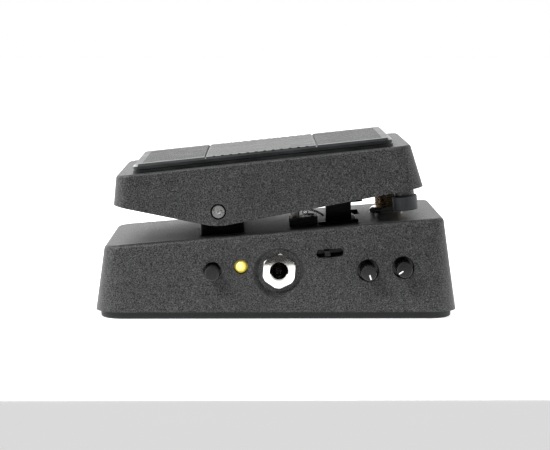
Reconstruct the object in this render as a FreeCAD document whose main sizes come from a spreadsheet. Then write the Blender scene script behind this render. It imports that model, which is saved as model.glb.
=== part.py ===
import FreeCAD, Part
import math
import os
import re
import Sketcher

# Rocker effects pedal: a treadle rocks on a wedge-shaped base and drives a rack, a pinion and a potentiometer.
# +X points to the toe end, +Z up, and the side with the knobs faces -Y.
# The origin is the middle of the sole's underside.
# Treadle pieces are drawn in the treadle's own frame: origin on the pivot, X along the tread towards the toe.

Vector = FreeCAD.Vector
Rotation = FreeCAD.Rotation
Placement = FreeCAD.Placement

driving_sizes = (
    ("base_length", 145, "base casting at its lower edge, heel to toe"),
    ("base_width", 84, "base casting at its lower edge, side to side"),
    ("base_corner", 10, "plan radius of the base corners"),
    ("base_draft", 8, "slope of the base walls in degrees"),
    ("base_height", 34.6, "top of the base above the floor, halfway along"),
    ("base_slope", 4.75, "slope of the base top in degrees, rising to the toe"),
    ("base_wall", 2.5, "wall of the base casting"),
    ("edge_round", 1.8, "rounding of the base top edge"),
    ("sole_thick", 3, "rubber sole"),
    ("sole_inset", 1.9, "step from the casting in to the sole"),
    ("sole_round", 0.8, "rounding of the sole's lower edge"),
    ("plate_thick", 1.5, "steel bottom plate"),
    ("plate_gap", 0.6, "gap between bottom plate and casting"),
    ("plate_boss", 3.6, "radius of the bosses that hold the bottom plate"),
    ("boss_inset", 9.5, "screw boss centre in from the casting's lower edge"),
    ("screw_radius", 1.5, "shank radius of the plate and post screws"),
    ("head_radius", 2.8, "head radius of the plate and post screws"),
    ("head_height", 1.6, "head height of the plate and post screws"),
    ("pivot_from_heel", 49.55, "pivot axis from the heel end of the base casting"),
    ("pivot_height", 43, "pivot axis above the floor"),
    ("treadle_tilt", 6.04, "treadle angle at rest in degrees, toe up"),
    ("treadle_length", 118.1, "treadle top, heel to toe"),
    ("treadle_width", 77, "treadle top, side to side"),
    ("treadle_corner", 6, "plan radius of the treadle corners"),
    ("end_draft", 11.3, "slope of the treadle's end walls in degrees"),
    ("side_draft", 5, "slope of the treadle's side walls in degrees"),
    ("treadle_wall", 2.6, "wall of the treadle casting"),
    ("treadle_plate", 3, "top plate of the treadle casting"),
    ("tread_rise", 18.2, "treadle top above the pivot axis"),
    ("heel_reach", 39.2, "treadle heel edge behind the pivot axis"),
    ("skirt_heel", 12.25, "depth of the skirt at the heel"),
    ("skirt_deep", 24.1, "depth of the skirt at its lowest corner"),
    ("deep_place", 37.9, "lowest corner of the skirt from the heel edge"),
    ("skirt_toe", 17.4, "depth of the skirt at the toe"),
    ("skirt_round", 25, "rounding of the skirt's lowest corner"),
    ("treadle_round", 1, "rounding of the treadle top edge"),
    ("axle_radius", 2.45, "pivot axle"),
    ("bush_gap", 0.05, "running clearance of a shaft in its bush, on the radius"),
    ("bush_wall", 0.65, "wall of the axle bushings"),
    ("bush_flange", 0.8, "inner flange of the axle bushings"),
    ("ear_radius", 6, "bosses around the axle inside the treadle"),
    ("ear_depth", 4, "depth of those bosses inward from the side wall"),
    ("post_length", 15.6, "pivot post at its foot, heel to toe"),
    ("post_forward", 2.4, "how much further the post reaches toward the toe than toward the heel"),
    ("post_taper", 1.8, "how much narrower the post is at its top"),
    ("post_width", 9, "pivot post, side to side"),
    ("post_place", 29, "outer face of the pivot post from the middle"),
    ("post_above", 5.5, "post top above the pivot axis"),
    ("pad_length", 104.6, "tread pad"),
    ("pad_width", 71, "tread pad"),
    ("pad_corner", 3.5, "plan radius of the tread pad corners"),
    ("pad_flange", 1.1, "thin lower flange of the tread pad"),
    ("pad_groove", 0.4, "height of the groove under the tread"),
    ("pad_groove_depth", 0.7, "depth of that groove"),
    ("pad_tread", 2.1, "tread thickness above the groove"),
    ("pad_bevel", 0.9, "bevel of the tread's upper edge"),
    ("rib_pitch", 3.2, "spacing of the lengthwise tread ribs"),
    ("rib_cut", 1.1, "width of the cuts between tread ribs"),
    ("rib_depth", 0.6, "depth of the cuts between tread ribs"),
    ("panel_start", 29.5, "middle panel of the tread from the pad's heel end"),
    ("panel_length", 44.6, "middle panel of the tread"),
    ("panel_cut", 0.7, "width of the cross cuts at both ends of the middle panel"),
    ("notch_pitch", 3.4, "spacing of the edge notches of the middle panel"),
    ("notch_reach", 2.2, "length of those notches, inward from the tread's edge"),
    ("bumper_radius", 5, "toe bumper"),
    ("bumper_height", 6, "toe bumper"),
    ("bumper_side", 27, "toe bumpers from the middle"),
    ("bumper_reach", 75, "toe bumpers ahead of the pivot"),
    ("bumper_low", 8.5, "toe bumper underside below the pivot axis"),
    ("heel_pad_reach", 34, "heel bumper behind the pivot"),
    ("heel_pad_rise", 2.3, "heel bumper underside above the pivot axis"),
    ("heel_pad_height", 3, "heel bumper"),
    ("switch_reach", 120.5, "footswitch axis from the heel end of the base casting"),
    ("switch_thread", 6, "radius of the footswitch bushing"),
    ("switch_out", 8, "footswitch bushing above the base top"),
    ("plunger_radius", 4.4, "footswitch plunger"),
    ("plunger_out", 10.4, "footswitch plunger above the base top"),
    ("switch_nut", 14.4, "footswitch nut across flats"),
    ("striker_gap", 3.4, "footswitch plunger to striker pad at rest"),
    ("striker_height", 2, "rubber striker pad"),
    ("rack_length", 10.2, "rack bar, heel to toe"),
    ("rack_width", 6, "rack bar, side to side"),
    ("rack_side", 20, "middle of the rack bar from the middle of the pedal"),
    ("rack_arm", 48.4, "middle of the rack bar ahead of the pivot"),
    ("rack_gap", 0.15, "clearance of the rack bar in its guide"),
    ("rack_foot", 8.6, "lower end of the rack bar above the floor"),
    ("pin_height", 50, "rack pin above the floor"),
    ("pin_radius", 1.5, "rack pin"),
    ("pin_slot", 9, "slot for the rack pin, heel to toe"),
    ("pin_gap", 0.5, "clearance around the rack pin in its slot"),
    ("pin_drop", 1.5, "how far the rack pin sinks in its slot by heel down"),
    ("gear_size", 0.7, "gear module"),
    ("gear_teeth", 16, "pinion teeth"),
    ("gear_width", 5, "pinion face width"),
    ("gear_below", 11.3, "pinion axis below the base top at the rack"),
    ("backlash", 0.12, "play between the teeth"),
    ("wash_radius", 8, "sweep potentiometer can"),
    ("wash_depth", 6.5, "sweep potentiometer can"),
    ("shaft_radius", 3, "sweep potentiometer shaft"),
    ("jack_place", 73.7, "jack axis from the heel end of the base casting"),
    ("jack_height", 19, "jack axis above the floor"),
    ("jack_bore", 3.25, "radius of the jack bore"),
    ("jack_thread", 4.75, "radius of the jack's threaded sleeve"),
    ("jack_sleeve", 10, "length of the jack's threaded sleeve"),
    ("jack_nut", 12.7, "jack nut across flats"),
    ("jack_nut_thick", 2.1, "jack nut"),
    ("jack_nut_turn", 4.6, "angle the jack nut stopped at, in degrees"),
    ("dish_radius", 10.5, "round dish around the jack"),
    ("dish_rim", 1.9, "sloped rim of that dish"),
    ("dish_depth", 2.3, "depth of that dish"),
    ("housing_length", 15, "jack housing, heel to toe"),
    ("housing_depth", 23, "jack housing, inward"),
    ("housing_height", 14.5, "jack housing, top to bottom"),
    ("button_place", 47.1, "push button axis from the heel end of the base casting"),
    ("button_height", 19.2, "push button axis above the floor"),
    ("button_radius", 2.95, "push button cap"),
    ("button_out", 7, "how far the push button cap stands out"),
    ("button_hole", 3.6, "radius of the push button hole"),
    ("lamp_place", 58.5, "lamp axis from the heel end of the base casting"),
    ("lamp_height", 20.8, "lamp axis above the floor"),
    ("lamp_radius", 2.5, "lamp lens"),
    ("lamp_hole", 2.85, "radius of the lamp hole"),
    ("slot_place", 94, "middle of the slide switch slot from the heel end"),
    ("slot_height", 26.3, "middle of the slide switch slot above the floor"),
    ("slot_length", 11, "slide switch slot, end to end"),
    ("slot_width", 3.4, "slide switch slot"),
    ("slider_width", 2.3, "slide switch knob, along the slot"),
    ("slider_offset", 1, "slide switch knob from the slot's middle towards the heel at rest"),
    ("volume_place", 109.2, "first knob axis from the heel end of the base casting"),
    ("volume_height", 19.4, "first knob axis above the floor"),
    ("tone_place", 123.3, "second knob axis from the heel end of the base casting"),
    ("tone_height", 20.6, "second knob axis above the floor"),
    ("knob_radius", 3.1, "knob"),
    ("knob_out", 7.5, "how far the knobs stand out"),
    ("knob_hole", 4.45, "radius of the knob holes"),
    ("inlet_place", 44, "power inlet axis from the heel end of the base casting"),
    ("inlet_height", 15.5, "power inlet axis above the floor"),
    ("inlet_radius", 4.2, "power inlet collar"),
    ("inlet_bore", 2.8, "radius of the power inlet bore"),
    ("board_height", 8, "underside of the main board above the floor"),
    ("board_thick", 1.6, "circuit boards"),
    ("board_behind", 31, "upright boards from the middle of the pedal"),
    ("tension_wire", 0.45, "radius of the tension spring's wire"),
    ("tension_bend", 12, "bend radius of the tension spring's long arm"),
    ("tension_coil", 0.95, "radius of the tension spring's coil, to the middle of the wire"),
    ("guide_flange", 1.2, "rack guide flange above the base top"),
    ("shoe_radius", 1.7, "rounded shoe on the guide, toward the toe from the rack"),
    ("tension_screw", 5.4, "screw of the tension block, heelward from the block's middle"),
    ("fit_gap", 0.15, "clearance of a piece in its hole"),
    ("press_gap", 0.03, "clearance drawn around a pressed or screwed-in shank"),
    ("clear_gap", 0.3, "clearance between neighbours that do not touch"),
)

doc = FreeCAD.newDocument("rocker_pedal")
sheet = doc.addObject("Spreadsheet::Sheet", "dim")
for row, (alias, value, note) in enumerate(driving_sizes, start=1):
    sheet.set(f"A{row}", alias)
    sheet.set(f"B{row}", str(value))
    sheet.set(f"C{row}", note)
    sheet.setAlias(f"B{row}", alias)
doc.recompute()
aliases = {alias for alias, value, note in driving_sizes}
nodes = {}


# Expressions: a text such as "base_length / 2" becomes "(dim.base_length) / 2" for the document.

def formula(text):
    return re.sub(r"[a-z_]+", lambda word: f"dim.{word[0]}" if word[0] in aliases else word[0], str(text))


def number(text):
    return float(sheet.evalExpression(formula(text)))


def bind(thing, **sizes):
    for name, text in sizes.items():
        thing.setExpression(name.replace("_at_", "."), formula(text))


def along_base(name):
    return f"({name} - base_length / 2)"


# Heights and walls of the base, as expressions.

def base_top(x, below=0):
    return f"(base_height + tan(base_slope) * ({x}) - ({below}) / cos(base_slope))"


def wall_face(z, inward=0):
    return f"(base_width / 2 - tan(base_draft) * (({z}) - sole_thick) - ({inward}))"


pivot_x = "(pivot_from_heel - base_length / 2)"
rack_x = f"({pivot_x} + rack_arm)"
switch_x = along_base("switch_reach")
jack_x = along_base("jack_place")
dish_face = wall_face("jack_height", "dish_depth")

gear_height = f"({base_top(rack_x)} - gear_below)"
pitch_radius = "(gear_size * gear_teeth / 2)"
rack_face = f"({rack_x} + rack_length / 2)"
pinion_x = f"({rack_face} - gear_size * 0.9 + {pitch_radius})"
gear_near = "(-rack_side - gear_width / 2)"
gear_far = "(-rack_side + gear_width / 2)"
bracket_y = f"({gear_far} + 2.6)"
bracket_spots = [f"({pinion_x} + {shift})" for shift in (-10, 10)]
bracket_screw_y = f"({bracket_y} + 4.5)"
tension_x = f"({rack_x} - rack_length / 2 - 7.1)"

turns = {
    "Z": Rotation(),
    "-Z": Rotation(Vector(1, 0, 0), 180),
    "Y": Rotation(Vector(1, 0, 0), -90),
    "-Y": Rotation(Vector(1, 0, 0), 90),
    "X": Rotation(Vector(0, 1, 0), 90),
}


def place(thing, x, y, z, along="Z"):
    thing.Placement = Placement(Vector(), turns[along])
    bind(thing, Placement_at_Base_at_x=x, Placement_at_Base_at_y=y, Placement_at_Base_at_z=z)
    return thing


def cylinder(radius, height, x, y, z, along="Z"):
    thing = doc.addObject("Part::Cylinder", "round")
    bind(thing, Radius=radius, Height=height)
    return place(thing, x, y, z, along)


def cone(first, last, height, x, y, z, along="Z"):
    thing = doc.addObject("Part::Cone", "cone")
    bind(thing, Radius1=first, Radius2=last, Height=height)
    return place(thing, x, y, z, along)


def box(length, width, height, x, y, z):
    """A box with its middle at x, y and its underside at z."""
    thing = doc.addObject("Part::Box", "box")
    bind(thing, Length=length, Width=width, Height=height)
    return place(thing, f"({x}) - ({length}) / 2", f"({y}) - ({width}) / 2", z)


def hexagon(flats, height, x, y, z, along="Z", turn="0"):
    thing = doc.addObject("Part::Prism", "hexagon")
    thing.Polygon = 6
    bind(thing, Circumradius=f"({flats}) / 2 / cos(30)", Height=height)
    place(thing, x, y, z, along)
    thing.Placement = Placement(Vector(), turns[along] * Rotation(Vector(0, 0, 1), number(turn)))
    return thing


def fuse(*pieces):
    if len(pieces) == 1:
        return pieces[0]
    thing = doc.addObject("Part::MultiFuse", "joined")
    thing.Shapes = list(pieces)
    thing.Refine = True
    return thing


def common(first, second):
    thing = doc.addObject("Part::Common", "shared")
    thing.Base = first
    thing.Tool = second
    return thing


def cut(base, *tools):
    thing = doc.addObject("Part::Cut", "trimmed")
    thing.Base = base
    thing.Tool = fuse(*tools)
    return thing


def group(*pieces):
    thing = doc.addObject("Part::Compound", "group")
    thing.Links = list(pieces)
    return thing


def keep(name, thing):
    thing.Label = name
    nodes[name] = thing
    return thing


def lean(thing, angle, x, z):
    """Leans a piece towards the heel by an angle and moves its origin to x, z."""
    thing.Placement = Placement(Vector(), Rotation(Vector(0, -1, 0), number(angle)))
    bind(thing, Placement_at_Rotation_at_Angle=angle, Placement_at_Base_at_x=x, Placement_at_Base_at_z=z)
    return thing


def on_treadle(thing):
    """Moves a piece from the treadle's frame to where the treadle rests."""
    return lean(thing, "treadle_tilt", pivot_x, "pivot_height")


def on_switch(thing):
    """Moves a piece whose Z is the footswitch axis, and whose origin is in the base top, to its place."""
    return lean(thing, "base_slope", switch_x, base_top(switch_x))


def on_slope(length, width, height, x, y, above):
    """A box that lies along the base top, with its underside `above` the top plane."""
    thing = doc.addObject("Part::Box", "sloped_box")
    bind(thing, Length=length, Width=width, Height=height)
    thing.Placement = Placement(Vector(), Rotation(Vector(0, -1, 0), number("base_slope")))
    start = f"(({x}) - ({length}) / 2 * cos(base_slope) - ({above}) * sin(base_slope))"
    bind(thing, Placement_at_Rotation_at_Angle="base_slope")
    bind(thing, Placement_at_Base_at_x=start)
    bind(thing, Placement_at_Base_at_y=f"({y}) - ({width}) / 2")
    lowest = f"{base_top(x)} - ({length}) / 2 * sin(base_slope) + ({above}) * cos(base_slope)"
    bind(thing, Placement_at_Base_at_z=lowest)
    return thing


# Sketches and bodies.

def new_body(name):
    return doc.addObject("PartDesign::Body", name)


def add_sketch(body, role, offset="0"):
    plane = next(f for f in body.Origin.OriginFeatures if f.Role == role)
    sketch = body.newObject("Sketcher::SketchObject", "sketch")
    sketch.AttachmentSupport = [(plane, "")]
    sketch.MapMode = "FlatFace"
    bind(sketch, AttachmentOffset_at_Base_at_z=offset)
    return sketch


def drive(sketch, kind, first, first_end, second, second_end, text):
    """Adds a distance constraint and binds it."""
    index = sketch.addConstraint(
        Sketcher.Constraint(kind, first, first_end, second, second_end, number(text)))
    sketch.setExpression(f"Constraints[{index}]", formula(text))


def rounded_rectangle(body, length, width, radius, z="0", shift_x="0", shift_y="0"):
    """A rectangle with four equal round corners, centred on the body's axis or shifted from it."""
    sketch = add_sketch(body, "XY_Plane", z)
    bind(sketch, AttachmentOffset_at_Base_at_x=shift_x, AttachmentOffset_at_Base_at_y=shift_y)
    a, b, r = number(length) / 2, number(width) / 2, number(radius)
    starts = ((r - a, -b), (a, r - b), (a - r, b), (-a, b - r))
    ends = ((a - r, -b), (a, b - r), (r - a, b), (-a, r - b))
    centres = ((a - r, r - b), (a - r, b - r), (r - a, b - r), (r - a, r - b))
    for side in range(4):
        sketch.addGeometry(Part.LineSegment(Vector(*starts[side]), Vector(*ends[side])))
        circle = Part.Circle(Vector(*centres[side]), Vector(0, 0, 1), r)
        turn = (side - 1) * math.pi / 2
        sketch.addGeometry(Part.ArcOfCircle(circle, turn, turn + math.pi / 2))
    for side in range(4):
        line, arc, following = 2 * side, 2 * side + 1, (2 * side + 2) % 8
        sketch.addConstraint(Sketcher.Constraint("Tangent", line, 2, arc, 1))
        sketch.addConstraint(Sketcher.Constraint("Tangent", arc, 2, following, 1))
    sketch.addConstraint(Sketcher.Constraint("Horizontal", 4))
    sketch.addConstraint(Sketcher.Constraint("Vertical", 6))
    for arc in (3, 5, 7):
        sketch.addConstraint(Sketcher.Constraint("Equal", 1, arc))
    sketch.addConstraint(Sketcher.Constraint("Symmetric", 0, 1, 0, 2, -2))
    sketch.addConstraint(Sketcher.Constraint("Symmetric", 2, 1, 2, 2, -1))
    drive(sketch, "DistanceX", 6, 1, 2, 1, length)
    drive(sketch, "DistanceY", 0, 1, 4, 1, width)
    index = sketch.addConstraint(Sketcher.Constraint("Radius", 1, r))
    sketch.setExpression(f"Constraints[{index}]", formula(radius))
    return sketch


def polygon(body, role, corners, offset="0"):
    """A closed outline whose corners are each held at a distance from the origin."""
    sketch = add_sketch(body, role, offset)
    points = [Vector(number(x), number(y)) for x, y in corners]
    count = len(points)
    for corner in range(count):
        sketch.addGeometry(Part.LineSegment(points[corner], points[(corner + 1) % count]))
    for corner in range(count):
        sketch.addConstraint(Sketcher.Constraint("Coincident", corner, 2, (corner + 1) % count, 1))
    for corner, (x, y) in enumerate(corners):
        drive(sketch, "DistanceX", -1, 1, corner, 1, x)
        drive(sketch, "DistanceY", -1, 1, corner, 1, y)
    return sketch


def pad(body, sketch, length, taper="0", down=False):
    feature = body.newObject("PartDesign::Pad", "pad")
    feature.Profile = sketch
    feature.Reversed = down
    bind(feature, Length=length, TaperAngle=taper)
    return feature


def pocket_through(body, sketch, reach):
    """Cuts a side outline right through the body, the same distance to both sides."""
    before = body.Tip.Shape.Volume
    feature = body.newObject("PartDesign::Pocket", "pocket")
    feature.Profile = sketch
    feature.SideType = "Symmetric"
    bind(feature, Length=reach)
    doc.recompute()
    if feature.Shape.Volume >= before:
        raise RuntimeError(f"{body.Name}: the pocket cut nothing")
    return feature


def loft(body, *sketches):
    feature = body.newObject("PartDesign::AdditiveLoft", "loft")
    feature.Profile = sketches[0]
    feature.Sections = list(sketches[1:])
    feature.Ruled = True
    return feature


def edges_where(feature, test):
    return [f"Edge{i}" for i, edge in enumerate(feature.Shape.Edges, start=1) if test(edge)]


def fillet(body, feature, test, radius):
    doc.recompute()
    names = edges_where(feature, test)
    if not names:
        raise RuntimeError(f"{body.Name}: no edge to round")
    rounding = body.newObject("PartDesign::Fillet", "rounding")
    rounding.Base = (feature, names)
    bind(rounding, Radius=radius)
    return rounding


# Base: a hollow wedge with drafted walls and a sloping top.

def wedge(name, inset, below_top):
    """The wedge of the base, `inset` from its walls and `below_top` under its top."""
    body = new_body(name)
    size = f"base_length - 2 * ({inset})", f"base_width - 2 * ({inset})"
    foot = rounded_rectangle(body, *size, f"base_corner - ({inset}) / 2", "sole_thick")
    pad(body, foot, "base_height + base_length * tan(base_slope)", "-base_draft")
    doc.recompute()
    reach = "base_length * 0.75"
    ceiling = "base_height + base_length"
    corners = (
        (f"-({reach})", base_top(f"-({reach})", below_top)),
        (reach, base_top(reach, below_top)),
        (reach, ceiling),
        (f"-({reach})", ceiling),
    )
    pocket_through(body, polygon(body, "XZ_Plane", corners), "base_width * 3")
    return body


def round_top_edge(body):
    def on_top(edge):
        ends = [vertex.Point for vertex in edge.Vertexes]
        return all(abs(end.z - number(base_top(f"{end.x:.6f}"))) < 0.01 for end in ends)
    return fillet(body, body.Tip, on_top, "edge_round")


def side_bosses():
    """Thicker places inside the walls, behind the two dishes."""
    for sign in (-1, 1):
        along = "Y" if sign < 0 else "-Y"
        start = f"{sign} * ({dish_face} + dish_depth * 0.5)"
        yield cylinder("dish_radius + 1.5", "dish_depth * 0.5 + base_wall", jack_x, start, "jack_height", along)


def base_holes():
    for sign in (-1, 1):
        along = "-Y" if sign < 0 else "Y"
        face = f"{sign} * {dish_face}"
        yield cone("dish_radius - dish_rim", "dish_radius", "dish_depth", jack_x, face, "jack_height", along)
        outside = f"{sign} * {wall_face('jack_height')}"
        yield cylinder("dish_radius", "base_wall * 4", jack_x, outside, "jack_height", along)
        through = f"{sign} * ({dish_face} - base_wall * 2)"
        yield cylinder("jack_thread + fit_gap", "base_wall * 4", jack_x, through, "jack_height", along)
    for spot, height, radius in (
        ("button_place", "button_height", "button_hole"),
        ("lamp_place", "lamp_height", "lamp_hole"),
        ("volume_place", "volume_height", "knob_hole"),
        ("tone_place", "tone_height", "knob_hole"),
    ):
        start = f"-({wall_face(height)} - base_wall * 2)"
        yield cylinder(radius, "base_wall * 4", along_base(spot), start, height, "-Y")
    inlet_start = f"{wall_face('inlet_height')} - base_wall * 2"
    yield cylinder("inlet_radius + fit_gap", "base_wall * 4", along_base("inlet_place"), inlet_start,
                   "inlet_height", "Y")
    yield slide_slot()
    switch_hole = cylinder("switch_thread + fit_gap", "base_wall * 4", "0", "0", "-base_wall * 2")
    yield on_switch(group(switch_hole))
    yield on_slope("rack_length + 4", "rack_width + 4", "base_wall * 4", rack_x, "-rack_side", "-base_wall * 2")
    yield on_slope("8.5", "17.5", "base_wall * 4", f"({rack_x} + 5.6)", "9.75", "-base_wall * 2")


def pilot_holes():
    """Threaded holes in the base top for the tension block and the potentiometer bracket."""
    spot = f"({tension_x} - tension_screw)"
    yield cylinder("1.2", "base_wall * 4", spot, "-rack_side", f"{base_top(spot)} - base_wall * 2")
    for spot in bracket_spots:
        yield cylinder("1", "base_wall * 0.8 + 2", spot, bracket_screw_y, f"{base_top(spot, 'base_wall')} - 2")


def slide_slot():
    """A slot with round ends that follows the slope of the base."""
    reach = "(slot_length - slot_width) / 2"
    spot = along_base("slot_place")
    start = f"-({wall_face('slot_height')} - base_wall * 2)"
    ends = []
    for sign in (-1, 1):
        x = f"{spot} + {sign} * {reach} * cos(base_slope)"
        z = f"slot_height + {sign} * {reach} * sin(base_slope)"
        ends.append(cylinder("slot_width / 2", "base_wall * 4", x, start, z, "-Y"))
    middle = doc.addObject("Part::Box", "slot_middle")
    bind(middle, Length=f"2 * {reach}", Width="base_wall * 4", Height="slot_width")
    middle.Placement = Placement(Vector(), Rotation(Vector(0, -1, 0), number("base_slope")))
    bind(middle, Placement_at_Rotation_at_Angle="base_slope")
    bind(middle, Placement_at_Base_at_x=f"{spot} - {reach} * cos(base_slope) + slot_width / 2 * sin(base_slope)")
    bind(middle, Placement_at_Base_at_y=f"-({wall_face('slot_height')} + base_wall * 2)")
    bind(middle, Placement_at_Base_at_z=f"slot_height - {reach} * sin(base_slope) - slot_width / 2 * cos(base_slope)")
    return fuse(middle, *ends)


plate_corners = [
    (f"{along} * (base_length / 2 - boss_inset)", f"{across} * (base_width / 2 - boss_inset)")
    for along in (-1, 1) for across in (-1, 1)
]
plate_top = "(sole_thick + plate_thick)"
post_screws = [
    (f"({pivot_x} + {along} * post_length * 0.27)", f"{across} * (post_place - post_width / 2)")
    for across in (-1, 1) for along in (-1, 1)
]

outer = wedge("base_outer", "0", "0")
round_top_edge(outer)
cavity = wedge("base_cavity", "base_wall", "base_wall")
pillars = [cylinder("plate_boss", "base_height", x, y, plate_top) for x, y in plate_corners]
inner_lumps = common(fuse(*side_bosses(), *pillars), outer)
shell = fuse(cut(outer, cavity), inner_lumps)
screw_holes = [cylinder("screw_radius", "9", x, y, plate_top) for x, y in plate_corners]
post_holes = [cylinder("screw_radius + fit_gap", "base_height * 2", x, y, plate_top) for x, y in post_screws]
keep("base_casting", cut(shell, *base_holes(), *pilot_holes(), *screw_holes, *post_holes))

plate_inset = "(base_wall + plate_gap)"
plate_body = new_body("plate_blank")
pad(plate_body, rounded_rectangle(plate_body, f"base_length - 2 * {plate_inset}",
                                  f"base_width - 2 * {plate_inset}", "base_corner - 1", "sole_thick"), "plate_thick")
plate_holes = [cylinder("screw_radius + fit_gap", "plate_thick * 3", x, y, "sole_thick - plate_thick")
               for x, y in plate_corners]
keep("bottom_plate", cut(plate_body, *plate_holes))

sole_body = new_body("sole_blank")
sole_pad = pad(sole_body, rounded_rectangle(sole_body, "base_length - 2 * sole_inset",
                                            "base_width - 2 * sole_inset", "base_corner - sole_inset / 2"),
               "sole_thick")
fillet(sole_body, sole_pad, lambda edge: edge.BoundBox.ZMax < 0.01, "sole_round")
sole_holes = [cylinder("head_radius + 0.5", "sole_thick * 3", x, y, "-sole_thick") for x, y in plate_corners]
keep("rubber_sole", cut(sole_body, *sole_holes))


def screw(x, y, z, length, up=True):
    """A cross-head screw whose head seats at height z and whose shank points up or down."""
    shank_way, head_way = ("Z", "-Z") if up else ("-Z", "Z")
    sign = "-1" if up else "1"
    shank = cylinder("screw_radius", length, x, y, z, shank_way)
    head = cone("head_radius", "head_radius * 0.8", "head_height", x, y, z, head_way)
    depth = "head_height * 0.6"
    low = f"({z}) - head_height - 0.01" if up else f"({z}) + head_height - {depth} + 0.01"
    cross = fuse(box("head_radius * 1.1", "0.6", depth, x, y, low), box("0.6", "head_radius * 1.1", depth, x, y, low))
    return cut(fuse(shank, head), cross)


keep("plate_screws", group(*[screw(x, y, "sole_thick", "8") for x, y in plate_corners]))


# Pivot: two posts stand on the base top and hold the axle.

def pivot_post(name, side):
    body = new_body(name)
    half = "post_length / 2"
    slim = "(post_length - post_taper) / 2"
    foot_heel = base_top(f"({pivot_x} - {half})")
    foot_toe = base_top(f"({pivot_x} + {half} + post_forward)")
    corners = (
        (f"{pivot_x} - {half}", foot_heel),
        (f"{pivot_x} + {half} + post_forward", foot_toe),
        (f"{pivot_x} + {slim} + post_forward", "pivot_height + post_above"),
        (f"{pivot_x} - {slim}", "pivot_height + post_above"),
    )
    middle = f"{-side} * (post_place - post_width / 2)"
    sketch = polygon(body, "XZ_Plane", corners, middle)
    feature = body.newObject("PartDesign::Pad", "pad")
    feature.Profile = sketch
    feature.SideType = "Symmetric"
    bind(feature, Length="post_width")
    fillet(body, feature, lambda edge: edge.BoundBox.YLength < 0.01 and edge.BoundBox.ZLength > 5, "1.5")
    doc.recompute()
    bore = cylinder("axle_radius + press_gap", "post_width * 2", pivot_x, f"{side} * (post_place + post_width / 2)",
                    "pivot_height", "Y" if side < 0 else "-Y")
    threads = [cylinder("screw_radius + press_gap", "8", x, y, f"{base_top(x)} - 1")
               for x, y in post_screws if y.startswith(f"{side} ")]
    return keep(name, cut(body, bore, *threads))


pivot_post("pivot_post_right", -1)
pivot_post("pivot_post_left", 1)
keep("post_screws", group(*[
    screw(x, y, base_top(x, "base_wall + 0.4"), "9") for x, y in post_screws
]))

wide_at_pivot = "(treadle_width / 2 + tan(side_draft) * tread_rise)"
axle_half = f"({wide_at_pivot} - 0.2)"
axle_rod = cylinder("axle_radius", f"2 * {axle_half}", pivot_x, f"-{axle_half}", "pivot_height", "Y")
dimples = [cone("0.9", "0.05", "0.8", pivot_x, f"{sign} * {axle_half}", "pivot_height", way)
           for sign, way in ((-1, "Y"), (1, "-Y"))]
ring_grooves = []
rings = []
for sign, way in ((-1, "-Y"), (1, "Y")):
    start = f"{sign} * (post_place + 0.2)"
    groove = cut(cylinder("axle_radius * 1.5", "0.8", pivot_x, start, "pivot_height", way),
                 cylinder("axle_radius - 0.5", "0.8", pivot_x, start, "pivot_height", way))
    ring_grooves.append(groove)
    ring = cut(cylinder("axle_radius + 1.2", "0.7", pivot_x, start, "pivot_height", way),
               cylinder("axle_radius - 0.5", "0.7", pivot_x, start, "pivot_height", way),
               box("1.6", "6", "axle_radius * 2", pivot_x, start, "pivot_height - axle_radius * 2"))
    rings.append(ring)
keep("pivot_axle", cut(axle_rod, *dimples, *ring_grooves))
keep("axle_rings", group(*rings))


# Treadle: a drafted pan, open below, with a skirt that is deepest near the pivot.

toe_reach = "(treadle_length - heel_reach)"
pan_shift = "(treadle_length / 2 - heel_reach)"


def pan(name, inset, top_drop, depth):
    """The treadle's outer form, or its hollow when inset by the wall."""
    body = new_body(name)
    sections = []
    for drop, radius in ((top_drop, "treadle_corner"), (depth, "treadle_corner + 1.5")):
        length = f"treadle_length + 2 * tan(end_draft) * ({drop}) - 2 * ({inset})"
        width = f"treadle_width + 2 * tan(side_draft) * ({drop}) - 2 * ({inset})"
        sections.append(rounded_rectangle(body, length, width, f"{radius} - ({inset}) / 2",
                                          f"tread_rise - ({drop})", pan_shift))
    loft(body, *sections)
    doc.recompute()
    return body


heel_slope = "((skirt_deep - skirt_heel) / deep_place)"
toe_slope = "((skirt_deep - skirt_toe) / (treadle_length - deep_place))"
beyond = "12"
treadle_outer = pan("treadle_outer", "0", "0", "skirt_deep + 4")
skirt_line = (
    (f"-heel_reach - {beyond}", f"tread_rise - skirt_heel + {beyond} * {heel_slope}"),
    ("deep_place - heel_reach", "tread_rise - skirt_deep"),
    (f"{toe_reach} + {beyond}", f"tread_rise - skirt_toe + {beyond} * {toe_slope}"),
    (f"{toe_reach} + {beyond}", "tread_rise - skirt_deep * 2"),
    (f"-heel_reach - {beyond}", "tread_rise - skirt_deep * 2"),
)
skirt_cut = pocket_through(treadle_outer, polygon(treadle_outer, "XZ_Plane", skirt_line), "treadle_width * 2")


def lowest_edge(edge):
    lowest = number("tread_rise - skirt_deep")
    return edge.BoundBox.YLength > 5 and abs(edge.BoundBox.ZMax - lowest) < 0.01


skirt_blend = fillet(treadle_outer, skirt_cut, lowest_edge, "skirt_round")
fillet(treadle_outer, skirt_blend,
       lambda edge: edge.BoundBox.ZMin > number("tread_rise") - 0.01, "treadle_round")
treadle_hollow = pan("treadle_hollow", "treadle_wall", "treadle_plate", "skirt_deep + 10")

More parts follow.
